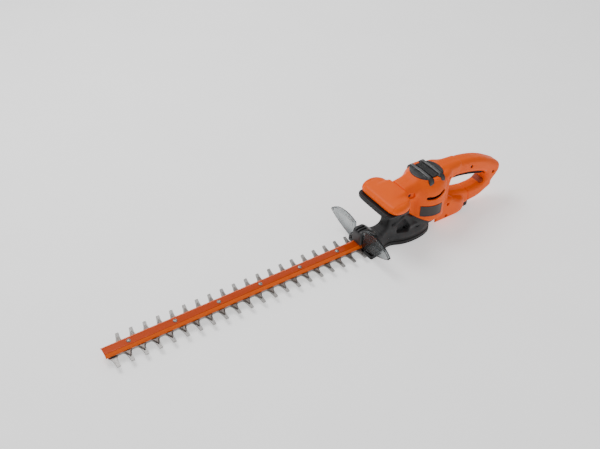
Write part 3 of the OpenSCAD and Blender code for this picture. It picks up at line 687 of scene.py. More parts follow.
# ---- base plate
def shrink(outline, amount):
    """Outline with each point moved inward along its own normal."""
    ring = np.array(outline, float)
    along = np.roll(ring, -1, 0) - np.roll(ring, 1, 0)
    normal = np.stack([along[:, 1], -along[:, 0]], 1)
    normal /= np.maximum(np.linalg.norm(normal, axis=1), 1e-9)[:, None]
    area = np.sum(ring[:, 0] * np.roll(ring[:, 1], -1) - ring[:, 1] * np.roll(ring[:, 0], -1))
    return ring - normal * amount * (1 if area > 0 else -1)


def base_plate_field(x, y, z):
    """Tray under the gears, with a round seat for the gear shaft and grooves across its lower face."""
    plan = BASE_PLAN(x, y)
    ay = np.abs(y)
    tray = meet(plan, between(z, 0, 3), 1)
    rim = meet(less(plan, plan + 3.4), between(z, 0.5, BASE_TOP), 0.8)
    solid = join(tray, rim, 0.6)
    around_gear = np.hypot(x - GEAR_X, y)
    solid = join(solid, meet(around_gear - 9, between(z, 1, 8.6), 0.6), 0.8)
    solid = less(solid, around_gear - 6.52, 1.8 - z)
    solid = cut(solid, block(x, y, z, (HOUSING_FRONT - 6, -BLADE_ROOM, 3), (-129.5, BLADE_ROOM, 13)), 0.4)
    for place in BASE_SCREWS:
        away = pin(x, ay, place, 0)
        solid = less(solid, away - SCREW_HOLE)
        solid = cut(solid, common(away - HEAD_HOLE, z - 2), 0.4)
    for i in range(5):
        tread = np.abs(x + 64 - 13 * i) - 0.8
        solid = cut(solid, common(tread, z - 0.7, ay - 20), 0.4)
    return solid


# ---- guard and bracket
GUARD_HALF = [
    (13.4, 55), (20, 57.6), (28, 59.8), (38, 61), (48, 60.8), (60, 59), (71, 55.4), (80, 50.4),
    (86, 45.6), (88.3, 42.6), (87.2, 40.4), (84, 38.4), (77, 34.6), (66, 29.8), (54, 25.6), (40, 21.4),
    (26, 17.6), (17, 15.7), (12.9, 15.4), (12.9, 21.5)]
GUARD = Outline(
    GUARD_HALF + [(-u, v) for u, v in reversed(GUARD_HALF)] + [(-12.8, 43), (12.8, 43)], 2.2)
GUARD_MID = GUARD_LOW[0] + 1.6


def guard_field(x, y, z):
    """Clear sheet with a raised lip around its upper part, two ridges and a bead at the front."""
    edge = GUARD(y, z)
    ay = np.abs(y)
    sheet = meet(edge, np.abs(x - GUARD_MID) - 1.45, 0.7)
    upper = common(edge, 40 - z, 14.5 - ay)
    lip = meet(less(upper, edge + 2.6), between(x, GUARD_MID - 1, GUARD_HIGH[0]), 0.7)
    result = join(sheet, lip, 0.8)
    for inset in (6.2, 9.4):
        ridge = np.hypot(edge + inset, x - GUARD_MID - 1.4) - 0.6
        result = join(result, common(ridge, 38 - z, 20 - ay), 0.6)
    bead = np.hypot(edge + 1.0, x - GUARD_MID + 1.1) - 0.7
    return join(result, common(bead, 14 - ay), 0.4)


BRACKET_SIDE = Outline([
    (-154, 21), (-154, 44), (-151.5, 48.5), (-148, 50), (-133, 50), (-127, 45.5), (-120, 38.5),
    (-114, 33), (-113.5, 29.4), (-144.2, 29.4), (-144.2, 21)], 2.2)
BRACKET_HOLLOW = Outline([(-144, 32), (-144, 43.2), (-136, 43.2), (-127, 36), (-127, 32)])
BRACKET_HALF = 12.5


def bracket_field(x, y, z):
    """Hood that holds the guard, with two slots in its top."""
    ay = np.abs(y)
    solid = meet(BRACKET_SIDE(x, z), ay - BRACKET_HALF, 3)
    solid = scored(solid, np.abs(x + 131.4) - 0.7, 1, 0.5, 36 - z)
    solid = less(solid, between(x, GUARD_LOW[0] - 0.1, GUARD_LOW[0] + 3.4), z - 43.3)
    solid = cut(solid, block(x, ay, z, (-152.5, 1.7, 46.4), (-133.5, 4.7, 70), 0.8), 0.6)
    solid = less(solid, BRACKET_HOLLOW(x, z), ay - 9)
    away = pin(x, ay, BRACKET_SCREW, 0)
    solid = less(solid, away - SCREW_HOLE)
    return cut(solid, common(away - HEAD_HOLE, 34 - z), 0.5)


# ---- trim on the pod
CAP_FLOOR = 124.0
CAP_TOP = 128.6
CAP_R = 31.6
RIDGES = (-13, 13)
RIDGE_AT = [0, 25, 29.5, 32.5, 34.4]
RIDGE_TOP = [132.9, 131.6, 129.6, 126.5, 121]
PANEL_X = 0.4
PANEL_TOP = 130
LINE_PITCH = 2.4


def vent_cap_field(x, y, z):
    """Cap with two ridges across it, a deep slot beside each and a lined panel between them."""
    ay = np.abs(y)
    radius = np.hypot(x, y)
    dome = np.clip(1 - ((x + 24) / 10) ** 2, 0, 1) * np.clip(1 - (y / 27) ** 2, 0, 1)
    cap = meet(radius - CAP_R, common(z - CAP_TOP - 2 * dome, CAP_FLOOR - z), 1.2)
    cap = cut(cap, meet(np.abs(x) - 7, 24.5 - ay, 1.5), 1)
    edge = np.interp(ay, RIDGE_AT, RIDGE_TOP)
    flare = 4.2 + 1.3 * np.clip((ay - 23) / 5, 0, 1)
    for ridge in RIDGES:
        bar = meet(np.abs(x - ridge) - flare, common(z - edge, ay - RIDGE_AT[-1]) * 0.8, 2.4)
        bar = common(bar, 118.5 - z, np.where(z < CAP_FLOOR, 30.6 - radius, FAR_INSIDE))
        cap = join(cap, bar, 0.8)
        slot = block(x, y, z, (ridge + 2.4, -28, 125.8), (ridge + 7.2, 28, 145), 1.2)
        cap = cut(cap, slot, 0.6)
    panel = meet(np.abs(x - PANEL_X) - 6.2, common(z - PANEL_TOP, CAP_FLOOR - z), 1)
    cap = join(cap, common(panel, ay - 23.4), 0.6)
    for k in range(-2, 3):
        cap = cut(cap, common(np.abs(x - PANEL_X - LINE_PITCH * k) - 0.5, 129.2 - z, ay - 22), 0.3)
    skirt = meet(np.abs(radius - 28.4) - 1.1, between(z, 119, 125), 0.4)
    skirt = common(skirt, np.minimum(7 - np.abs(x), ay - 24.5))
    return join(cap, skirt, 0.4)


def side_plate_field(x, y, z):
    """Blank badge plate that follows the pod, with a raised edge."""
    radius = np.hypot(x, y)
    around = np.degrees(np.arctan2(-np.abs(y), x))
    wide = ARC * between(around, *LABEL_ANGLES) + 0.4
    outline = meet(wide, between(z, LABEL_LEVELS[0] + 0.3, LABEL_LEVELS[1] - 0.3), 2.2)
    body = meet(outline, between(radius, POD_R - 0.85, POD_R + 0.25), 0.3)
    edge = meet(less(outline, outline + 1.3), between(radius, POD_R - 0.5, POD_R + 0.55), 0.3)
    return join(body, edge, 0.3)


# ---- trigger and inlet
TRIGGER_SIDE = Outline([
    (49.2, 91.5), (49.5, 99.5), (60, 102), (82, 99.5), (104, 95), (129, 89.5), (141, 86.5), (149, 86),
    (153, 84.5), (154.4, 80), (151.5, 75.8), (146, 74.4), (140, 74), (129, 77.3), (104, 84.3),
    (82, 88.6), (60, 90.8), (52, 90.2)], 2)


GROOVES = 11
GROOVE_PITCH = 6


def trigger_field(x, y, z):
    """Lever on its pin, with grooves across its finger side."""
    ay = np.abs(y)
    side = TRIGGER_SIDE(x, z)
    solid = meet(side, ay - 9.9, 3)
    for k in range(GROOVES):
        groove = common(np.abs(x - 66 - GROOVE_PITCH * k) - 0.7, -side - 0.9, z - 92, ay - 7)
        solid = cut(solid, groove, 0.5)
    return less(solid, pin(x, z, PIVOT, SCREW_HOLE))


INLET_SIDE = Outline([(74, 8.4), (74, 24), (110, 24), (114, 22), (114, 10), (110, 8.4)], 1.5)


def inlet_field(x, y, z):
    """Shroud around the two prongs of the power inlet."""
    ay = np.abs(y)
    solid = meet(INLET_SIDE(x, z), ay - 14, 3)
    for k in range(3):
        solid = scored(solid, np.abs(x - 94 - 5 * k) - 0.8, 0.9, 0.4)
    solid = cut(solid, block(x, y, z, (91, -10.5, 11), (121, 10.5, 21.6), 1.5), 0.5)
    return less(solid, pin(ay, z, (5, 16.3), 2.05), 80 - x)


def make_pieces():
    """The pieces that are one skin each."""
    build("front_handle_skin", front_shell_field, (-118.4, -55, 96.5), (-63.5, 55, 119), 0.9,
          "orange_plastic", "front_handle_shell")
    build("front_handle_floor", front_base_field, (-98, -51, 85), (-65, 51, 97.5), 0.8,
          "dark_plastic", "front_handle_base")
    build("front_switch_grip", switch_bar_field, (-125, -51, 84), (-99, 51, 105), 0.62,
          "dark_plastic", "front_switch_bar", own="grip_plastic", body="front_switch_bar", sharp=50)
    build("gear_case", gear_housing_field, (-145.5, -44, 4.5), (31, 44, 87), 1.05,
          "dark_plastic", "gear_housing", own="case_plastic")
    build("base_cover", base_plate_field, (-145.5, -37, -0.5), (15.5, 37, 9), 0.8,
          "black_plastic", "base_plate")
    build("clear_guard", guard_field, (-150, -89, 15), (-142.8, 89, 61.6), 0.85,
          "clear_plastic", "hand_guard", sharp=50)
    build("guard_hood", bracket_field, (-155, -13.5, 20.5), (-113, 13.5, 51), 0.7,
          "dark_plastic", "guard_bracket", own="hood_plastic")
    build("vent_grille", vent_cap_field, (-36, -36.4, 118), (36, 36.4, 133.4), 0.6,
          "black_plastic", "vent_cap", own="grille_plastic")
    plate_box = (-34, 24, 51), (14, 45, 76), 0.55
    build("side_plate_left", side_plate_field, *plate_box, "plate_plastic", "side_plates", flip=True)
    build("side_plate_right", side_plate_field, *plate_box, "plate_plastic")
    # its dark orange-brown is painted shade of the loop's inner corner
    build("retainer_plug", retainer_field, (140, -14, 44), (156, 14, 62), 0.4,
          "brown_plastic", "cord_retainer")
    build("trigger_lever", trigger_field, (48.5, -10.6, 73.5), (155, 10.6, 102.6), 0.8,
          "dark_plastic", "trigger", own="trigger_plastic", body="trigger")
    build("inlet_shroud", inlet_field, (73, -14.6, 7.8), (114.6, 14.6, 24.6), 0.7,
          "black_plastic", "power_inlet")


# ---- blades
PITCH = 24
FIRST_TOOTH = -635
TEETH = 21
STRIP = 12            # half width of the strip that the teeth stand on
COMB_REACH = LOWER_HIGH[1]
RIGHT_LEAN = 5        # how far the root of a tooth on the +Y side is ahead of its tip
SCREW_AT = [-603.4 + 81.4 * i for i in range(6)]
SLOT_HALF = 9.7
SLOT_R = 3.7
YOKE_HALF = (22.3, 16.3)
YOKE_SIDE = 21
YOKE_EDGE = 4
COMB_FRONT = FIRST_TOOTH - 8.5
CUTTER_FRONT = FIRST_TOOTH - 5
# Half width of a tooth and its distance from the middle line, from root to tip.
COMB_TOOTH = [(8.4, 12), (6.6, 13.1), (5.3, 15), (4.4, 18), (3.7, 23), (3.3, 28), (3.1, 33), (2.4, 34)]
CUTTER_FOOT = [(8.2, 12), (6.3, 13.4), (4.8, 16), (3.7, 18.4), (2.4, 21.3), (1.3, 23.7), (0.6, 25)]
CUTTER_FACE = [(8.2, 12), (5.6, 13.0), (3.3, 15.2), (2.2, 17.4), (1.3, 19.8), (0.7, 21.8), (0.25, 22.8)]


def lean(v):
    """How far ahead a tooth on the +Y side is at the distance v from the middle line."""
    return RIGHT_LEAN * (COMB_REACH - v) / (COMB_REACH - STRIP)


def blade_outline(tooth, first, front, reach):
    """Outline of a blade from above: near teeth, yoke, far teeth."""
    both = [(-half, v) for half, v in tooth] + [(half, v) for half, v in reversed(tooth)]
    near = [(FIRST_TOOTH + PITCH * k + u, -v) for k in range(first, TEETH) for u, v in both]
    far = [(FIRST_TOOTH + PITCH * k - u - lean(v), v) for k in range(TEETH - 1, 0, -1) for u, v in both]
    nose, tail = GEAR_X - YOKE_HALF[0] - YOKE_EDGE, GEAR_X + YOKE_HALF[0] + YOKE_EDGE
    yoke = [(nose - 9, STRIP), (nose, YOKE_SIDE), (tail - 4, YOKE_SIDE), (tail, YOKE_SIDE - 4)]
    yoke = [(u, -v) for u, v in yoke] + yoke[::-1]
    corner = [(front, -STRIP)] if first else []
    return [tuple(p) for p in soften(corner + near + yoke + far + [(front, STRIP)], reach, 3)]


def slot_outline(x):
    """Slot with round ends for a screw at x, which lets the blade slide past it."""
    turn = np.linspace(-math.pi / 2, math.pi / 2, 10)
    right = [(x + SLOT_HALF - SLOT_R + SLOT_R * math.cos(a), SLOT_R * math.sin(a)) for a in turn]
    left = [(x - SLOT_HALF + SLOT_R - SLOT_R * math.cos(a), -SLOT_R * math.sin(a)) for a in turn]
    return right + left


def make_blades():
    """The comb and the cutter, with a slot for each screw and a window for the gear."""
    window = soften([
        (GEAR_X + u * YOKE_HALF[0], v * YOKE_HALF[1]) for u, v in ((-1, -1), (1, -1), (1, 1), (-1, 1))], 2)
    holes = [slot_outline(x) for x in SCREW_AT] + [window]
    comb = blade_outline(COMB_TOOTH, 0, COMB_FRONT, 1.1)
    low, high = LOWER_LOW[2], LOWER_HIGH[2]
    ease = 0.22
    inset = [(half - ease, v - ease) for half, v in COMB_TOOTH]
    eased = blade_outline(inset, 0, FIRST_TOOTH - 8.3, 1.1)
    piece = plate("comb_blade", [(low, eased), (low + ease, comb), (high - ease, comb), (high, eased)], holes)
    finish(piece, "lower_blade", "comb_steel", look("comb_steel"), "lower_blade")
    foot = blade_outline(CUTTER_FOOT, 1, CUTTER_FRONT, 0.6)
    face = blade_outline(CUTTER_FACE, 1, CUTTER_FRONT, 0.6)
    low, high = UPPER_LOW[2], UPPER_HIGH[2]
    piece = plate("cutting_blade", [(low, foot), (low + 0.35, foot), (high, face)], holes)
    finish(piece, "upper_blade", "cutter_steel", look("cutter_steel"), "upper_blade")


BAR_OUTSIDE = [(12.4, 14.5), (12.35, 15.9), (10.9, 17.4), (7.4, 19.7), (6.6, 20)]
BAR_INSIDE = [(10.6, 14.5), (10.6, 15.3), (10.1, 15.9), (6.9, 17.9), (6.3, 18.2)]


def make_bar():
    """Pressed channel above the blades, with a flat top band and a sloping flange on each side."""
    outside = BAR_OUTSIDE + [(-u, v) for u, v in reversed(BAR_OUTSIDE)]
    inside = [(-u, v) for u, v in BAR_INSIDE] + [(u, v) for u, v in reversed(BAR_INSIDE)]
    section = [tuple(point) for point in soften(outside + inside, 0.5, 4)]
    eased = shrink(section, 0.25)
    low, high = BAR_LOW[0], BAR_HIGH[0]
    middle = [(low + (high - low) * k / 3, section) for k in (1, 2)]
    piece = plate("support_channel", [
        (low, eased), (low + 0.3, section)] + middle + [(high - 0.3, section), (high, eased)])
    piece.data.transform(Matrix(((0, 0, 1, 0), (1, 0, 0, 0), (0, 1, 0, 0), (0, 0, 0, 1))))
    finish(piece, "housing", "painted_bar", look("painted_bar"), "blade_support_bar")


DOME_R = 5
DOME_HEAD_R = 4
BOLT_R = 2


def dome_screw(x, y, z):
    """Screw through the blades, with a domed head and a six-sided socket."""
    radius = np.hypot(x, y)
    top = BAR_HIGH[2]
    ball = np.sqrt(x * x + y * y + (z - top + 2.6) ** 2) - DOME_R
    head = meet(meet(ball, radius - DOME_HEAD_R, 0.4), top + 0.02 - z, 0.2)
    angle = np.arctan2(y, x)
    sector = (angle + math.pi / 6) % (math.pi / 3) - math.pi / 6
    socket = common(radius * np.cos(sector) - 1.55, top + 1.2 - z)
    head = cut(head, socket, 0.25)
    return join(head, common(radius - BOLT_R, between(z, 6.6, top + 0.2)), 0.2)


PAN_R = 3
THREAD_PITCH = 1.3


def pan_skin(length, head_height):
    """Small screw with a six-lobed recess, its head's upper face at z = 0 and its tip at -length."""

    def field(x, y, z):
        radius = np.hypot(x, y)
        head = meet(radius - PAN_R, between(z, -head_height, 0), 0.6)
        lobes = 1.25 + 0.3 * np.cos(6 * np.arctan2(y, x))
        head = cut(head, common(radius - lobes, -1.2 - z), 0.2)
        thread = 1.36 + 0.14 * np.cos(2 * np.pi * (z / THREAD_PITCH + np.arctan2(y, x) / (2 * np.pi)))
        shank = meet(radius - np.where(z < -head_height - 1, thread, 1.5), between(z, -length, -1), 0.4)
        return join(head, shank, 0.2)

    return skin(field, (-3.2, -3.2, -length - 0.2), (3.2, 3.2, 0.2), 0.3)


def gathered(name, node, look_name, copies):
    """One piece from copies of skins, each with the place and rotation of its copy."""
    all_points, all_faces, count = [], [], 0
    for points, faces, offset, turn in copies:
        all_points.append(points @ np.array(turn, float).T + np.array(offset, float))
        all_faces.append(faces + count)
        count += len(points)
    piece = mesh_object(name, np.concatenate(all_points), np.concatenate(all_faces))
    finish(piece, "housing", "screw_steel", look(look_name), node)


FACING_UP = ((1, 0, 0), (0, 1, 0), (0, 0, 1))
FACING_DOWN = ((1, 0, 0), (0, -1, 0), (0, 0, -1))
FACING_LEFT = ((1, 0, 0), (0, 0, -1), (0, 1, 0))
BOSS_HEAD = 2.4


def make_screws():
    """The screws of each group, as one piece to a group."""
    bolt = skin(dome_screw, (-5.2, -5.2, 6.2), (5.2, 5.2, 23), 0.36)
    copies = [(*bolt, (x, 0, 0), FACING_UP) for x in SCREW_AT]
    gathered("bar_screws", "blade_screws", "screw_steel", copies)
    # name, CAD node, length, head height, rotation, height of the head's face, places in plan
    kinds = (
        ("case_screws", "base_screws", 15.7, 1.6, FACING_DOWN, 0.3, BASE_SCREWS),
        ("hood_screws", "bracket_screws", 14, 1.9, FACING_UP, 36, [BRACKET_SCREW]),
        ("handle_screws", "front_handle_screws", 19.4, 2.3, FACING_DOWN, 86.6, [FRONT_SCREW]))
    for name, node, length, head, turn, level, places in kinds:
        screw = pan_skin(length, head)
        copies = [(*screw, (x, side * y, level), turn) for x, y in places for side in (-1, 1)]
        gathered(name, node, "screw_steel", copies)
    gathered("shell_screws", "housing_screws", "dark_screw", [
        (*pan_skin(depth + BOSS_HEAD + 9, BOSS_HEAD), (bx, -depth - BOSS_HEAD, bz), FACING_LEFT)
        for bx, bz, depth in BOSSES])


# ---- finishes
def linear(red, green, blue):
    """Colour given as 0 to 255 screen values."""
    values = [value / 255 for value in (red, green, blue)]
    return [v / 12.92 if v <= 0.04045 else ((v + 0.055) / 1.055) ** 2.4 for v in values] + [1.0]


class Finish:
    """Builds one procedural material around a Principled shader."""

    def __init__(self, name, roughness, metallic=0.0, coat=0.0, specular=0.5):
        self.material = bpy.data.materials.new(name)
        self.material.use_nodes = True
        self.tree = self.material.node_tree
        self.tree.nodes.clear()
        output = self.tree.nodes.new("ShaderNodeOutputMaterial")
        self.shader = self.tree.nodes.new("ShaderNodeBsdfPrincipled")
        self.feed(output.inputs["Surface"], self.shader.outputs["BSDF"])
        levels = {"Metallic": metallic, "Coat Weight": coat, "Specular IOR Level": specular}
        for key, level in levels.items():
            self.shader.inputs[key].default_value = level
        self.coordinates = self.tree.nodes.new("ShaderNodeTexCoord").outputs["Object"]
        self.colour = None
        self.rough = roughness
        self.rough_parts = []
        self.normal = None

    def feed(self, socket, value):
        """Links an output to an input, or sets the input to a plain value."""
        if isinstance(value, bpy.types.NodeSocket):
            self.tree.links.new(value, socket)
        else:
            socket.default_value = value

    def add(self, kind, output, inputs, **settings):
        """Adds a node, feeds its inputs and gives back one of its outputs."""
        node = self.tree.nodes.new("ShaderNode" + kind)
        for name, value in settings.items():
            setattr(node, name, value)
        for name, value in inputs.items():
            self.feed(node.inputs[name], value)
        return node.outputs[output]

    def noise(self, scale, detail, roughness=0.55, stretch=None):
        """Noise over the object, stretched along the axes where a stretch is given."""
        place = self.coordinates
        if stretch:
            place = self.add("Mapping", "Vector", {"Scale": stretch, "Vector": place})
        inputs = {"Scale": scale, "Detail": detail, "Roughness": roughness, "Vector": place}
        return self.add("TexNoise", "Fac", inputs)

    def band(self, value, low, high, to_low=0.0, to_high=1.0):
        """value between low and high, mapped to between to_low and to_high."""
        inputs = {"Value": value, "From Min": low, "From Max": high, "To Min": to_low, "To Max": to_high}
        return self.add("MapRange", "Result", inputs)

    def math(self, operation, *values):
        return self.add("Math", "Value", dict(enumerate(values)), operation=operation)

    def axis(self, name):
        return self.add("SeparateXYZ", name, {"Vector": self.coordinates})

    def tone(self, colour, mask=None):
        """Lays a colour over what is there, through the mask."""
        if mask is not None:
            inputs = {"Factor": mask, "A": self.colour, "B": colour}
            colour = self.add("Mix", "Result", inputs, data_type="RGBA")
        self.colour = colour

    def cloud(self, colour, low, high, amount, *noise):
        """Lays a colour over the places where a noise is above low, and by amount above high."""
        self.tone(colour, self.band(self.noise(*noise), low, high, 0, amount))

    def rub(self, value, amount):
        """Roughness changes by amount times value."""
        self.rough_parts.append(self.math("MULTIPLY", value, amount))

    def bump(self, height, depth, strength):
        """Relief of the given depth in metres."""
        inputs = {"Strength": strength, "Distance": depth, "Height": height}
        if self.normal:
            inputs["Normal"] = self.normal
        self.normal = self.add("Bump", "Normal", inputs)

    def grain(self, scale, depth):
        """Fine moulded texture, with a gloss that changes slowly over the surface."""
        self.rub(self.band(self.noise(34, 5), 0.3, 0.7, -0.5, 0.5), 0.16)
        self.bump(self.noise(scale, 3, 0.6), depth, 0.5)

    def done(self):
        total = self.rough_parts[0]
        for part in self.rough_parts[1:] + [self.rough]:
            total = self.math("ADD", total, part)
        self.feed(self.shader.inputs["Roughness"], total)
        self.feed(self.shader.inputs["Base Color"], self.colour)
        if self.normal:
            self.feed(self.shader.inputs["Normal"], self.normal)
        return self.material


SCUFFS = (60, 8, 0.7, (1, 6, 6))
MOTTLE = (26, 4)
EVEN = (1, 1, 1)


def moulded(name, base, shade, light, roughness, texture=900, depth=0.00006, specular=0.3):
    """Moulded plastic: fine spark texture, slow tone changes, dust and faint rubbing."""
    f = Finish(name, roughness, specular=specular)
    f.tone(base)
    f.cloud(shade, 0.42, 0.72, 0.55, *MOTTLE)
    f.cloud(light, 0.55, 0.8, 0.28, 420, 2)
    f.cloud(light, 0.66, 0.78, 0.11, *SCUFFS)
    f.grain(texture, depth)
    f.rub(f.band(f.noise(140, 6, 0.7, (1, 8, 8)), 0.6, 0.72, 0, 1), 0.06)
    f.bump(f.noise(18, 2), 0.0003, 0.15)
    return f.done()


def metal(name, base, shade, light, roughness, stretch, scale=60):
    """Worked steel or brass: brushed along one axis, with stains and bright rubbed streaks."""
    f = Finish(name, roughness, metallic=1.0)
    f.tone(base)
    f.cloud(shade, 0.45, 0.75, 0.75, 45, 6, 0.65)
    f.cloud(light, 0.5, 0.72, 0.6, scale, 6, 0.7, stretch)
    f.rub(f.band(f.noise(scale, 5, 0.6, stretch), 0.3, 0.7, -0.5, 0.5), 0.22)
    f.rub(f.band(f.noise(30, 4), 0.4, 0.7, 0, 1), 0.12)
    f.bump(f.noise(scale * 4, 4, 0.7, stretch), 0.00003, 0.5)
    return f.done()


def grey(value):
    return [value, value, value * 1.03, 1.0]


def greys(*values):
    return [grey(value) for value in values]


def shades(*colours):
    """Colours from 0 to 255 screen values."""
    return [linear(*colour) for colour in colours]


def case_plastic():
    """Dark plastic of the gear housing, with painted light making the flange paler and painted shade making
    its lower edge black.
    """
    f = Finish("case_moulded", 0.48, specular=0.35)
    f.tone(grey(0.026))
    # painted light: paler from 42 mm down, fully below 34 mm, as if lit from above
    f.tone(grey(0.058), f.band(f.axis("Z"), 0.042, 0.034, 0, 0.8))
    # painted shade: black along the lower edge, below 12 mm
    f.tone(grey(0.006), f.band(f.axis("Z"), 0.0135, 0.012, 0, 0.95))
    f.cloud(grey(0.014), 0.42, 0.72, 0.5, *MOTTLE)
    f.cloud(grey(0.09), 0.66, 0.78, 0.2, *SCUFFS)
    f.grain(700, 0.0001)
    return f.done()


def hood_plastic():
    """Dark plastic of the guard's hood, with painted shade making its two slots black."""
    f = Finish("hood_moulded", 0.42, specular=0.35)
    f.tone(grey(0.03))
    f.cloud(grey(0.06), 0.42, 0.72, 0.5, 60, 5)
    # painted shade: the inside of the two slots, above 45.5 mm, is made black
    away = f.math("ABSOLUTE", f.math("SUBTRACT", f.math("ABSOLUTE", f.axis("Y")), 3.2 * MM))
    inside = f.math("MULTIPLY", f.band(away, 0.0017, 0.0013), f.band(f.axis("Z"), 0.0455, 0.047))
    f.tone(grey(0.001), inside)
    f.grain(700, 0.0001)
    return f.done()


def grille_plastic():
    """Black cap: painted highlight in grey on the ridge tops and painted shade in black in the slots."""
    f = Finish("grille_black", 0.3, specular=0.5)
    f.tone(grey(0.022))
    f.cloud(grey(0.05), 0.4, 0.7, 0.7, 46, 5, 0.6)
    # painted highlight: grey on the ridge tops, above 130.8 mm
    f.tone(grey(0.11), f.band(f.axis("Z"), 0.1308, 0.1322, 0, 0.8))
    # painted shade: black down the slot beside each ridge
    for ridge in RIDGES:
        away = f.math("ABSOLUTE", f.math("SUBTRACT", f.axis("X"), (ridge + 4.8) * MM))
        f.tone(grey(0.002), f.band(away, 0.0028, 0.0022, 0, 0.95))
    f.grain(800, 0.00004)
    return f.done()


def clear_plastic():
    """Smoked clear plastic, darker low down and along its front and rear edges."""
    f = Finish("smoked_clear", 0.07, specular=0.25)
    f.tone(linear(172, 177, 178))
    f.cloud(linear(140, 144, 146), 0.4, 0.75, 0.6, 30, 4)
    f.tone(linear(60, 62, 64), f.band(f.axis("Z"), 0.042, 0.018, 0, 0.8))
    middle = GUARD_MID * MM
    for start, full in ((0.0016, 0.0022), (-0.0014, -0.0017)):
        f.tone(linear(74, 77, 80), f.band(f.axis("X"), middle + start, middle + full, 0, 0.85))
    f.rub(f.band(f.noise(90, 6, 0.7, (4, 1, 4)), 0.5, 0.75, 0, 1), 0.16)
    f.bump(f.noise(260, 4), 0.00003, 0.4)
    f.shader.inputs["Transmission Weight"].default_value = 0.93
    f.shader.inputs["IOR"].default_value = 1.22
    return f.done()


def painted_bar():
    """Orange paint, darker on its flat top band and worn through in thin streaks."""
    f = Finish("bar_paint", 0.4, metallic=0.1, coat=0.08, specular=0.15)
    f.tone([0.88, 0.135, 0.01, 1])
    f.tone([0.5, 0.05, 0.001, 1], f.band(f.axis("Z"), 0.0194, 0.0197))
    f.cloud([0.62, 0.07, 0.004, 1], 0.5, 0.8, 0.5, 40, 6, 0.6, (1, 5, 5))
    f.cloud(linear(130, 112, 100), 0.7, 0.76, 0.5, 240, 8, 0.75, (1, 14, 14))
    f.rub(f.band(f.noise(60, 5, 0.6, (1, 4, 4)), 0.35, 0.7, -0.4, 0.6), 0.22)
    f.bump(f.noise(900, 3), 0.00004, 0.4)
    f.bump(f.noise(120, 2), 0.0001, 0.12)
    return f.done()


def laminated_steel():
    """Stack of thin sheets with rust in places."""
    f = Finish("laminations", 0.5, metallic=0.9)
    f.tone(linear(122, 122, 126))
    sheets = f.noise(30, 2, 0.5, (0.2, 0.2, 60))
    f.tone(linear(70, 70, 76), f.band(sheets, 0.45, 0.6, 0, 0.8))
    f.cloud(linear(120, 82, 60), 0.62, 0.8, 0.4, 80, 5)
    f.rub(f.band(sheets, 0.3, 0.7), 0.2)
    f.bump(sheets, 0.0001, 0.6)
    return f.done()


def copper_wire():
    """Enamelled wire wound in turns."""
    f = Finish("copper_enamel", 0.3, metallic=0.85, coat=0.5)
    f.tone(linear(196, 104, 52))
    turns = f.noise(40, 2, 0.5, (1, 1, 26))
    f.tone(linear(132, 58, 26), f.band(turns, 0.42, 0.6, 0, 0.85))
    f.cloud(linear(226, 150, 96), 0.6, 0.8, 0.4, 300, 3)
    f.rub(f.band(turns, 0.3, 0.7), 0.15)
    f.bump(turns, 0.00025, 0.7)
    return f.done()


# Made by moulded(): material name, base, shade and light colours, roughness, then the scale and
# depth of the texture and the specular level where they differ.
MOULDED = {
    "orange_plastic": (
        "orange_moulded", [1, 0.122, 0, 1], [0.92, 0.092, 0, 1], [1, 0.16, 0.004, 1], 0.42,
        900, 0.00006, 0.13),
    "dark_plastic": ("dark_moulded", *greys(0.03, 0.017, 0.06), 0.5, 700, 0.0001),
    "grip_plastic": ("dark_grip", *greys(0.014, 0.008, 0.032), 0.4, 600, 0.00008),
    "trigger_plastic": (
        "trigger_dark", [0.007, 0.005, 0.004, 1], grey(0.003), [0.02, 0.014, 0.01, 1], 0.5,
        900, 0.00006, 0.1),
    "black_plastic": ("black_moulded", *greys(0.008, 0.005, 0.02), 0.5),
    "plate_plastic": (
        "badge_plate", [0.022, 0.012, 0.009, 1], [0.014, 0.008, 0.006, 1], [0.05, 0.034, 0.028, 1], 0.36,
        1400, 0.00003, 0.45),
    # painted shade: the plug's dark orange-brown stands for the shade in the loop's inner corner
    "brown_plastic": (
        "retainer_painted_shade", [0.42, 0.06, 0.012, 1], [0.3, 0.04, 0.008, 1], [0.56, 0.12, 0.04, 1], 0.46),
    "carbon": ("carbon_block", *shades((34, 34, 36), (22, 22, 24), (66, 66, 70)), 0.55, 500, 0.0001),
    "felt": ("oiled_felt", *shades((140, 134, 120), (112, 106, 94), (170, 164, 150)), 0.9, 300, 0.0006),
    "fan_plastic": ("fan_nylon", *shades((78, 80, 84), (60, 62, 66), (104, 106, 110)), 0.46),
    "capacitor_film": ("capacitor_film", *shades((206, 190, 110), (182, 164, 84), (228, 216, 150)), 0.4)}
# Made by metal(): material name, base, shade and light colours, roughness, stretch along each
# axis, and the scale of the brushing where it differs.
METAL = {
    "comb_steel": ("comb_bright", *shades((162, 160, 158), (118, 115, 112), (200, 199, 197)), 0.4, (8, 1, 8)),
    "cutter_steel": (
        "cutter_ground", *shades((124, 116, 112), (88, 80, 77), (196, 192, 188)), 0.34, (8, 1, 8)),
    "screw_steel": ("screw_zinc", *shades((168, 166, 163), (92, 88, 84), (214, 213, 211)), 0.3, EVEN, 400),
    "dark_screw": ("screw_dark", *greys(0.06, 0.03, 0.12), 0.4, EVEN, 400),
    "machined_steel": (
        "machined", *shades((184, 186, 188), (140, 141, 143), (222, 223, 224)), 0.28, (1, 1, 24)),
    "bronze": ("sintered_bronze", *shades((190, 146, 82), (146, 104, 54), (220, 184, 124)), 0.42, EVEN, 500)}
SPECIAL = {
    "case_plastic": case_plastic, "hood_plastic": hood_plastic, "grille_plastic": grille_plastic,
    "clear_plastic": clear_plastic, "painted_bar": painted_bar, "laminated_steel": laminated_steel,
    "copper_wire": copper_wire}
made = {}


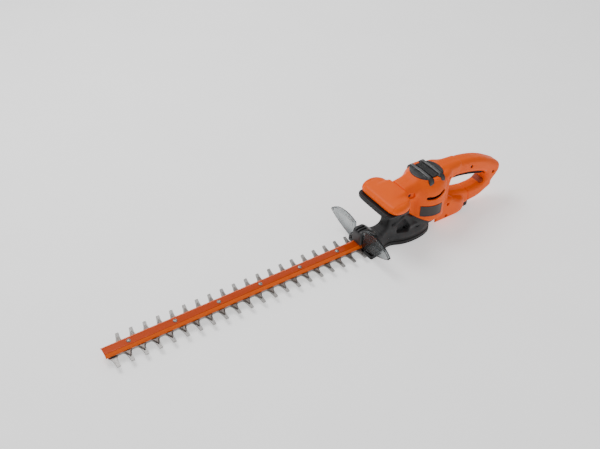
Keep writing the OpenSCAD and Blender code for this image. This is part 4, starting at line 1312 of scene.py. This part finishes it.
def look(name):
    """The finish of that name, made at its first use and shared from then on."""
    if name not in made:
        if name in MOULDED:
            made[name] = moulded(*MOULDED[name])
        elif name in METAL:
            made[name] = metal(*METAL[name])
        else:
            made[name] = SPECIAL[name]()
    return made[name]


def dress_frame():
    """Gives every carried CAD node the finish of its own slot."""
    for entry in frame["record"]["subparts"]:
        for slot in frame["nodes"][entry["node"]].material_slots:
            slot.material = look(entry["material_slot"])


# ---- light, floor and camera
VIEW_AZIMUTH = 34.02
VIEW_ELEVATION = 39.17
VIEW_ROLL = 1.25
VIEW_FROM = (-0.8312, -0.8178, 0.9223)
LENS_MM = 45
SENSOR_MM = 36
PART_MIDDLE = (-0.2, 0, 0.05)
FLOOR_HALF = 6.0


def make_camera():
    """Camera ahead of the blade tip and to its left, looking down and across the part."""
    azimuth, elevation, roll = (math.radians(a) for a in (VIEW_AZIMUTH, VIEW_ELEVATION, VIEW_ROLL))
    flat = Vector((math.sin(azimuth), math.cos(azimuth), 0))
    ahead = flat * math.cos(elevation) + Vector((0, 0, -math.sin(elevation)))
    level = Vector((math.cos(azimuth), -math.sin(azimuth), 0))
    upright = level.cross(ahead)
    right = level * math.cos(roll) + upright * math.sin(roll)
    up = upright * math.cos(roll) - level * math.sin(roll)
    camera = bpy.data.objects.new("camera", bpy.data.cameras.new("camera"))
    camera.data.lens = LENS_MM
    camera.data.sensor_width = SENSOR_MM
    camera.data.clip_end = 20
    turn = Matrix((right, up, -ahead)).transposed().to_4x4()
    camera.matrix_world = Matrix.Translation(VIEW_FROM) @ turn
    bpy.context.scene.collection.objects.link(camera)
    bpy.context.scene.camera = camera


def area_light(name, place, size, power):
    """Square lamp of the given size in metres and power in watts, turned to the middle of the part."""
    light = bpy.data.objects.new(name, bpy.data.lights.new(name, "AREA"))
    light.data.energy = power
    light.data.size = size
    light.location = place
    light.rotation_euler = (Vector(PART_MIDDLE) - Vector(place)).to_track_quat("-Z", "Y").to_euler()
    bpy.context.scene.collection.objects.link(light)


def make_stage():
    """Paper floor, an even white sky and three lamps."""
    mesh = bpy.data.meshes.new("studio_floor")
    corners = [(u * FLOOR_HALF, v * FLOOR_HALF, 0) for u, v in ((-1, -1), (1, -1), (1, 1), (-1, 1))]
    mesh.from_pydata(corners, [], [(0, 1, 2, 3)])
    floor = bpy.data.objects.new("studio_floor", mesh)
    bpy.context.scene.collection.objects.link(floor)
    f = Finish("floor_paper", 0.85, specular=0.1)
    f.tone([0.93, 0.93, 0.93, 1])
    f.tone([0.9, 0.9, 0.9, 1], f.band(f.noise(6, 3), 0.4, 0.7))
    f.rub(f.noise(40, 3), 0.05)
    f.bump(f.noise(500, 3), 0.0001, 0.1)
    f.shader.inputs["Emission Color"].default_value = (1, 1, 1, 1)
    f.shader.inputs["Emission Strength"].default_value = 0.65
    mesh.materials.append(f.done())
    world = bpy.data.worlds.new("studio")
    bpy.context.scene.world = world
    world.use_nodes = True
    background = world.node_tree.nodes["Background"]
    background.inputs["Color"].default_value = (1, 1, 1, 1)
    background.inputs["Strength"].default_value = 0.42
    area_light("key", (-0.7, 0.9, 1.8), 1.0, 26)
    area_light("fill", (0.9, -1.3, 1.4), 1.6, 3)
    area_light("edge", (0.6, 1.6, 1.0), 1.2, 5)


# ---- build
make_camera()
make_stage()
dress_frame()
make_housing()
make_pieces()
make_blades()
make_bar()
make_screws()
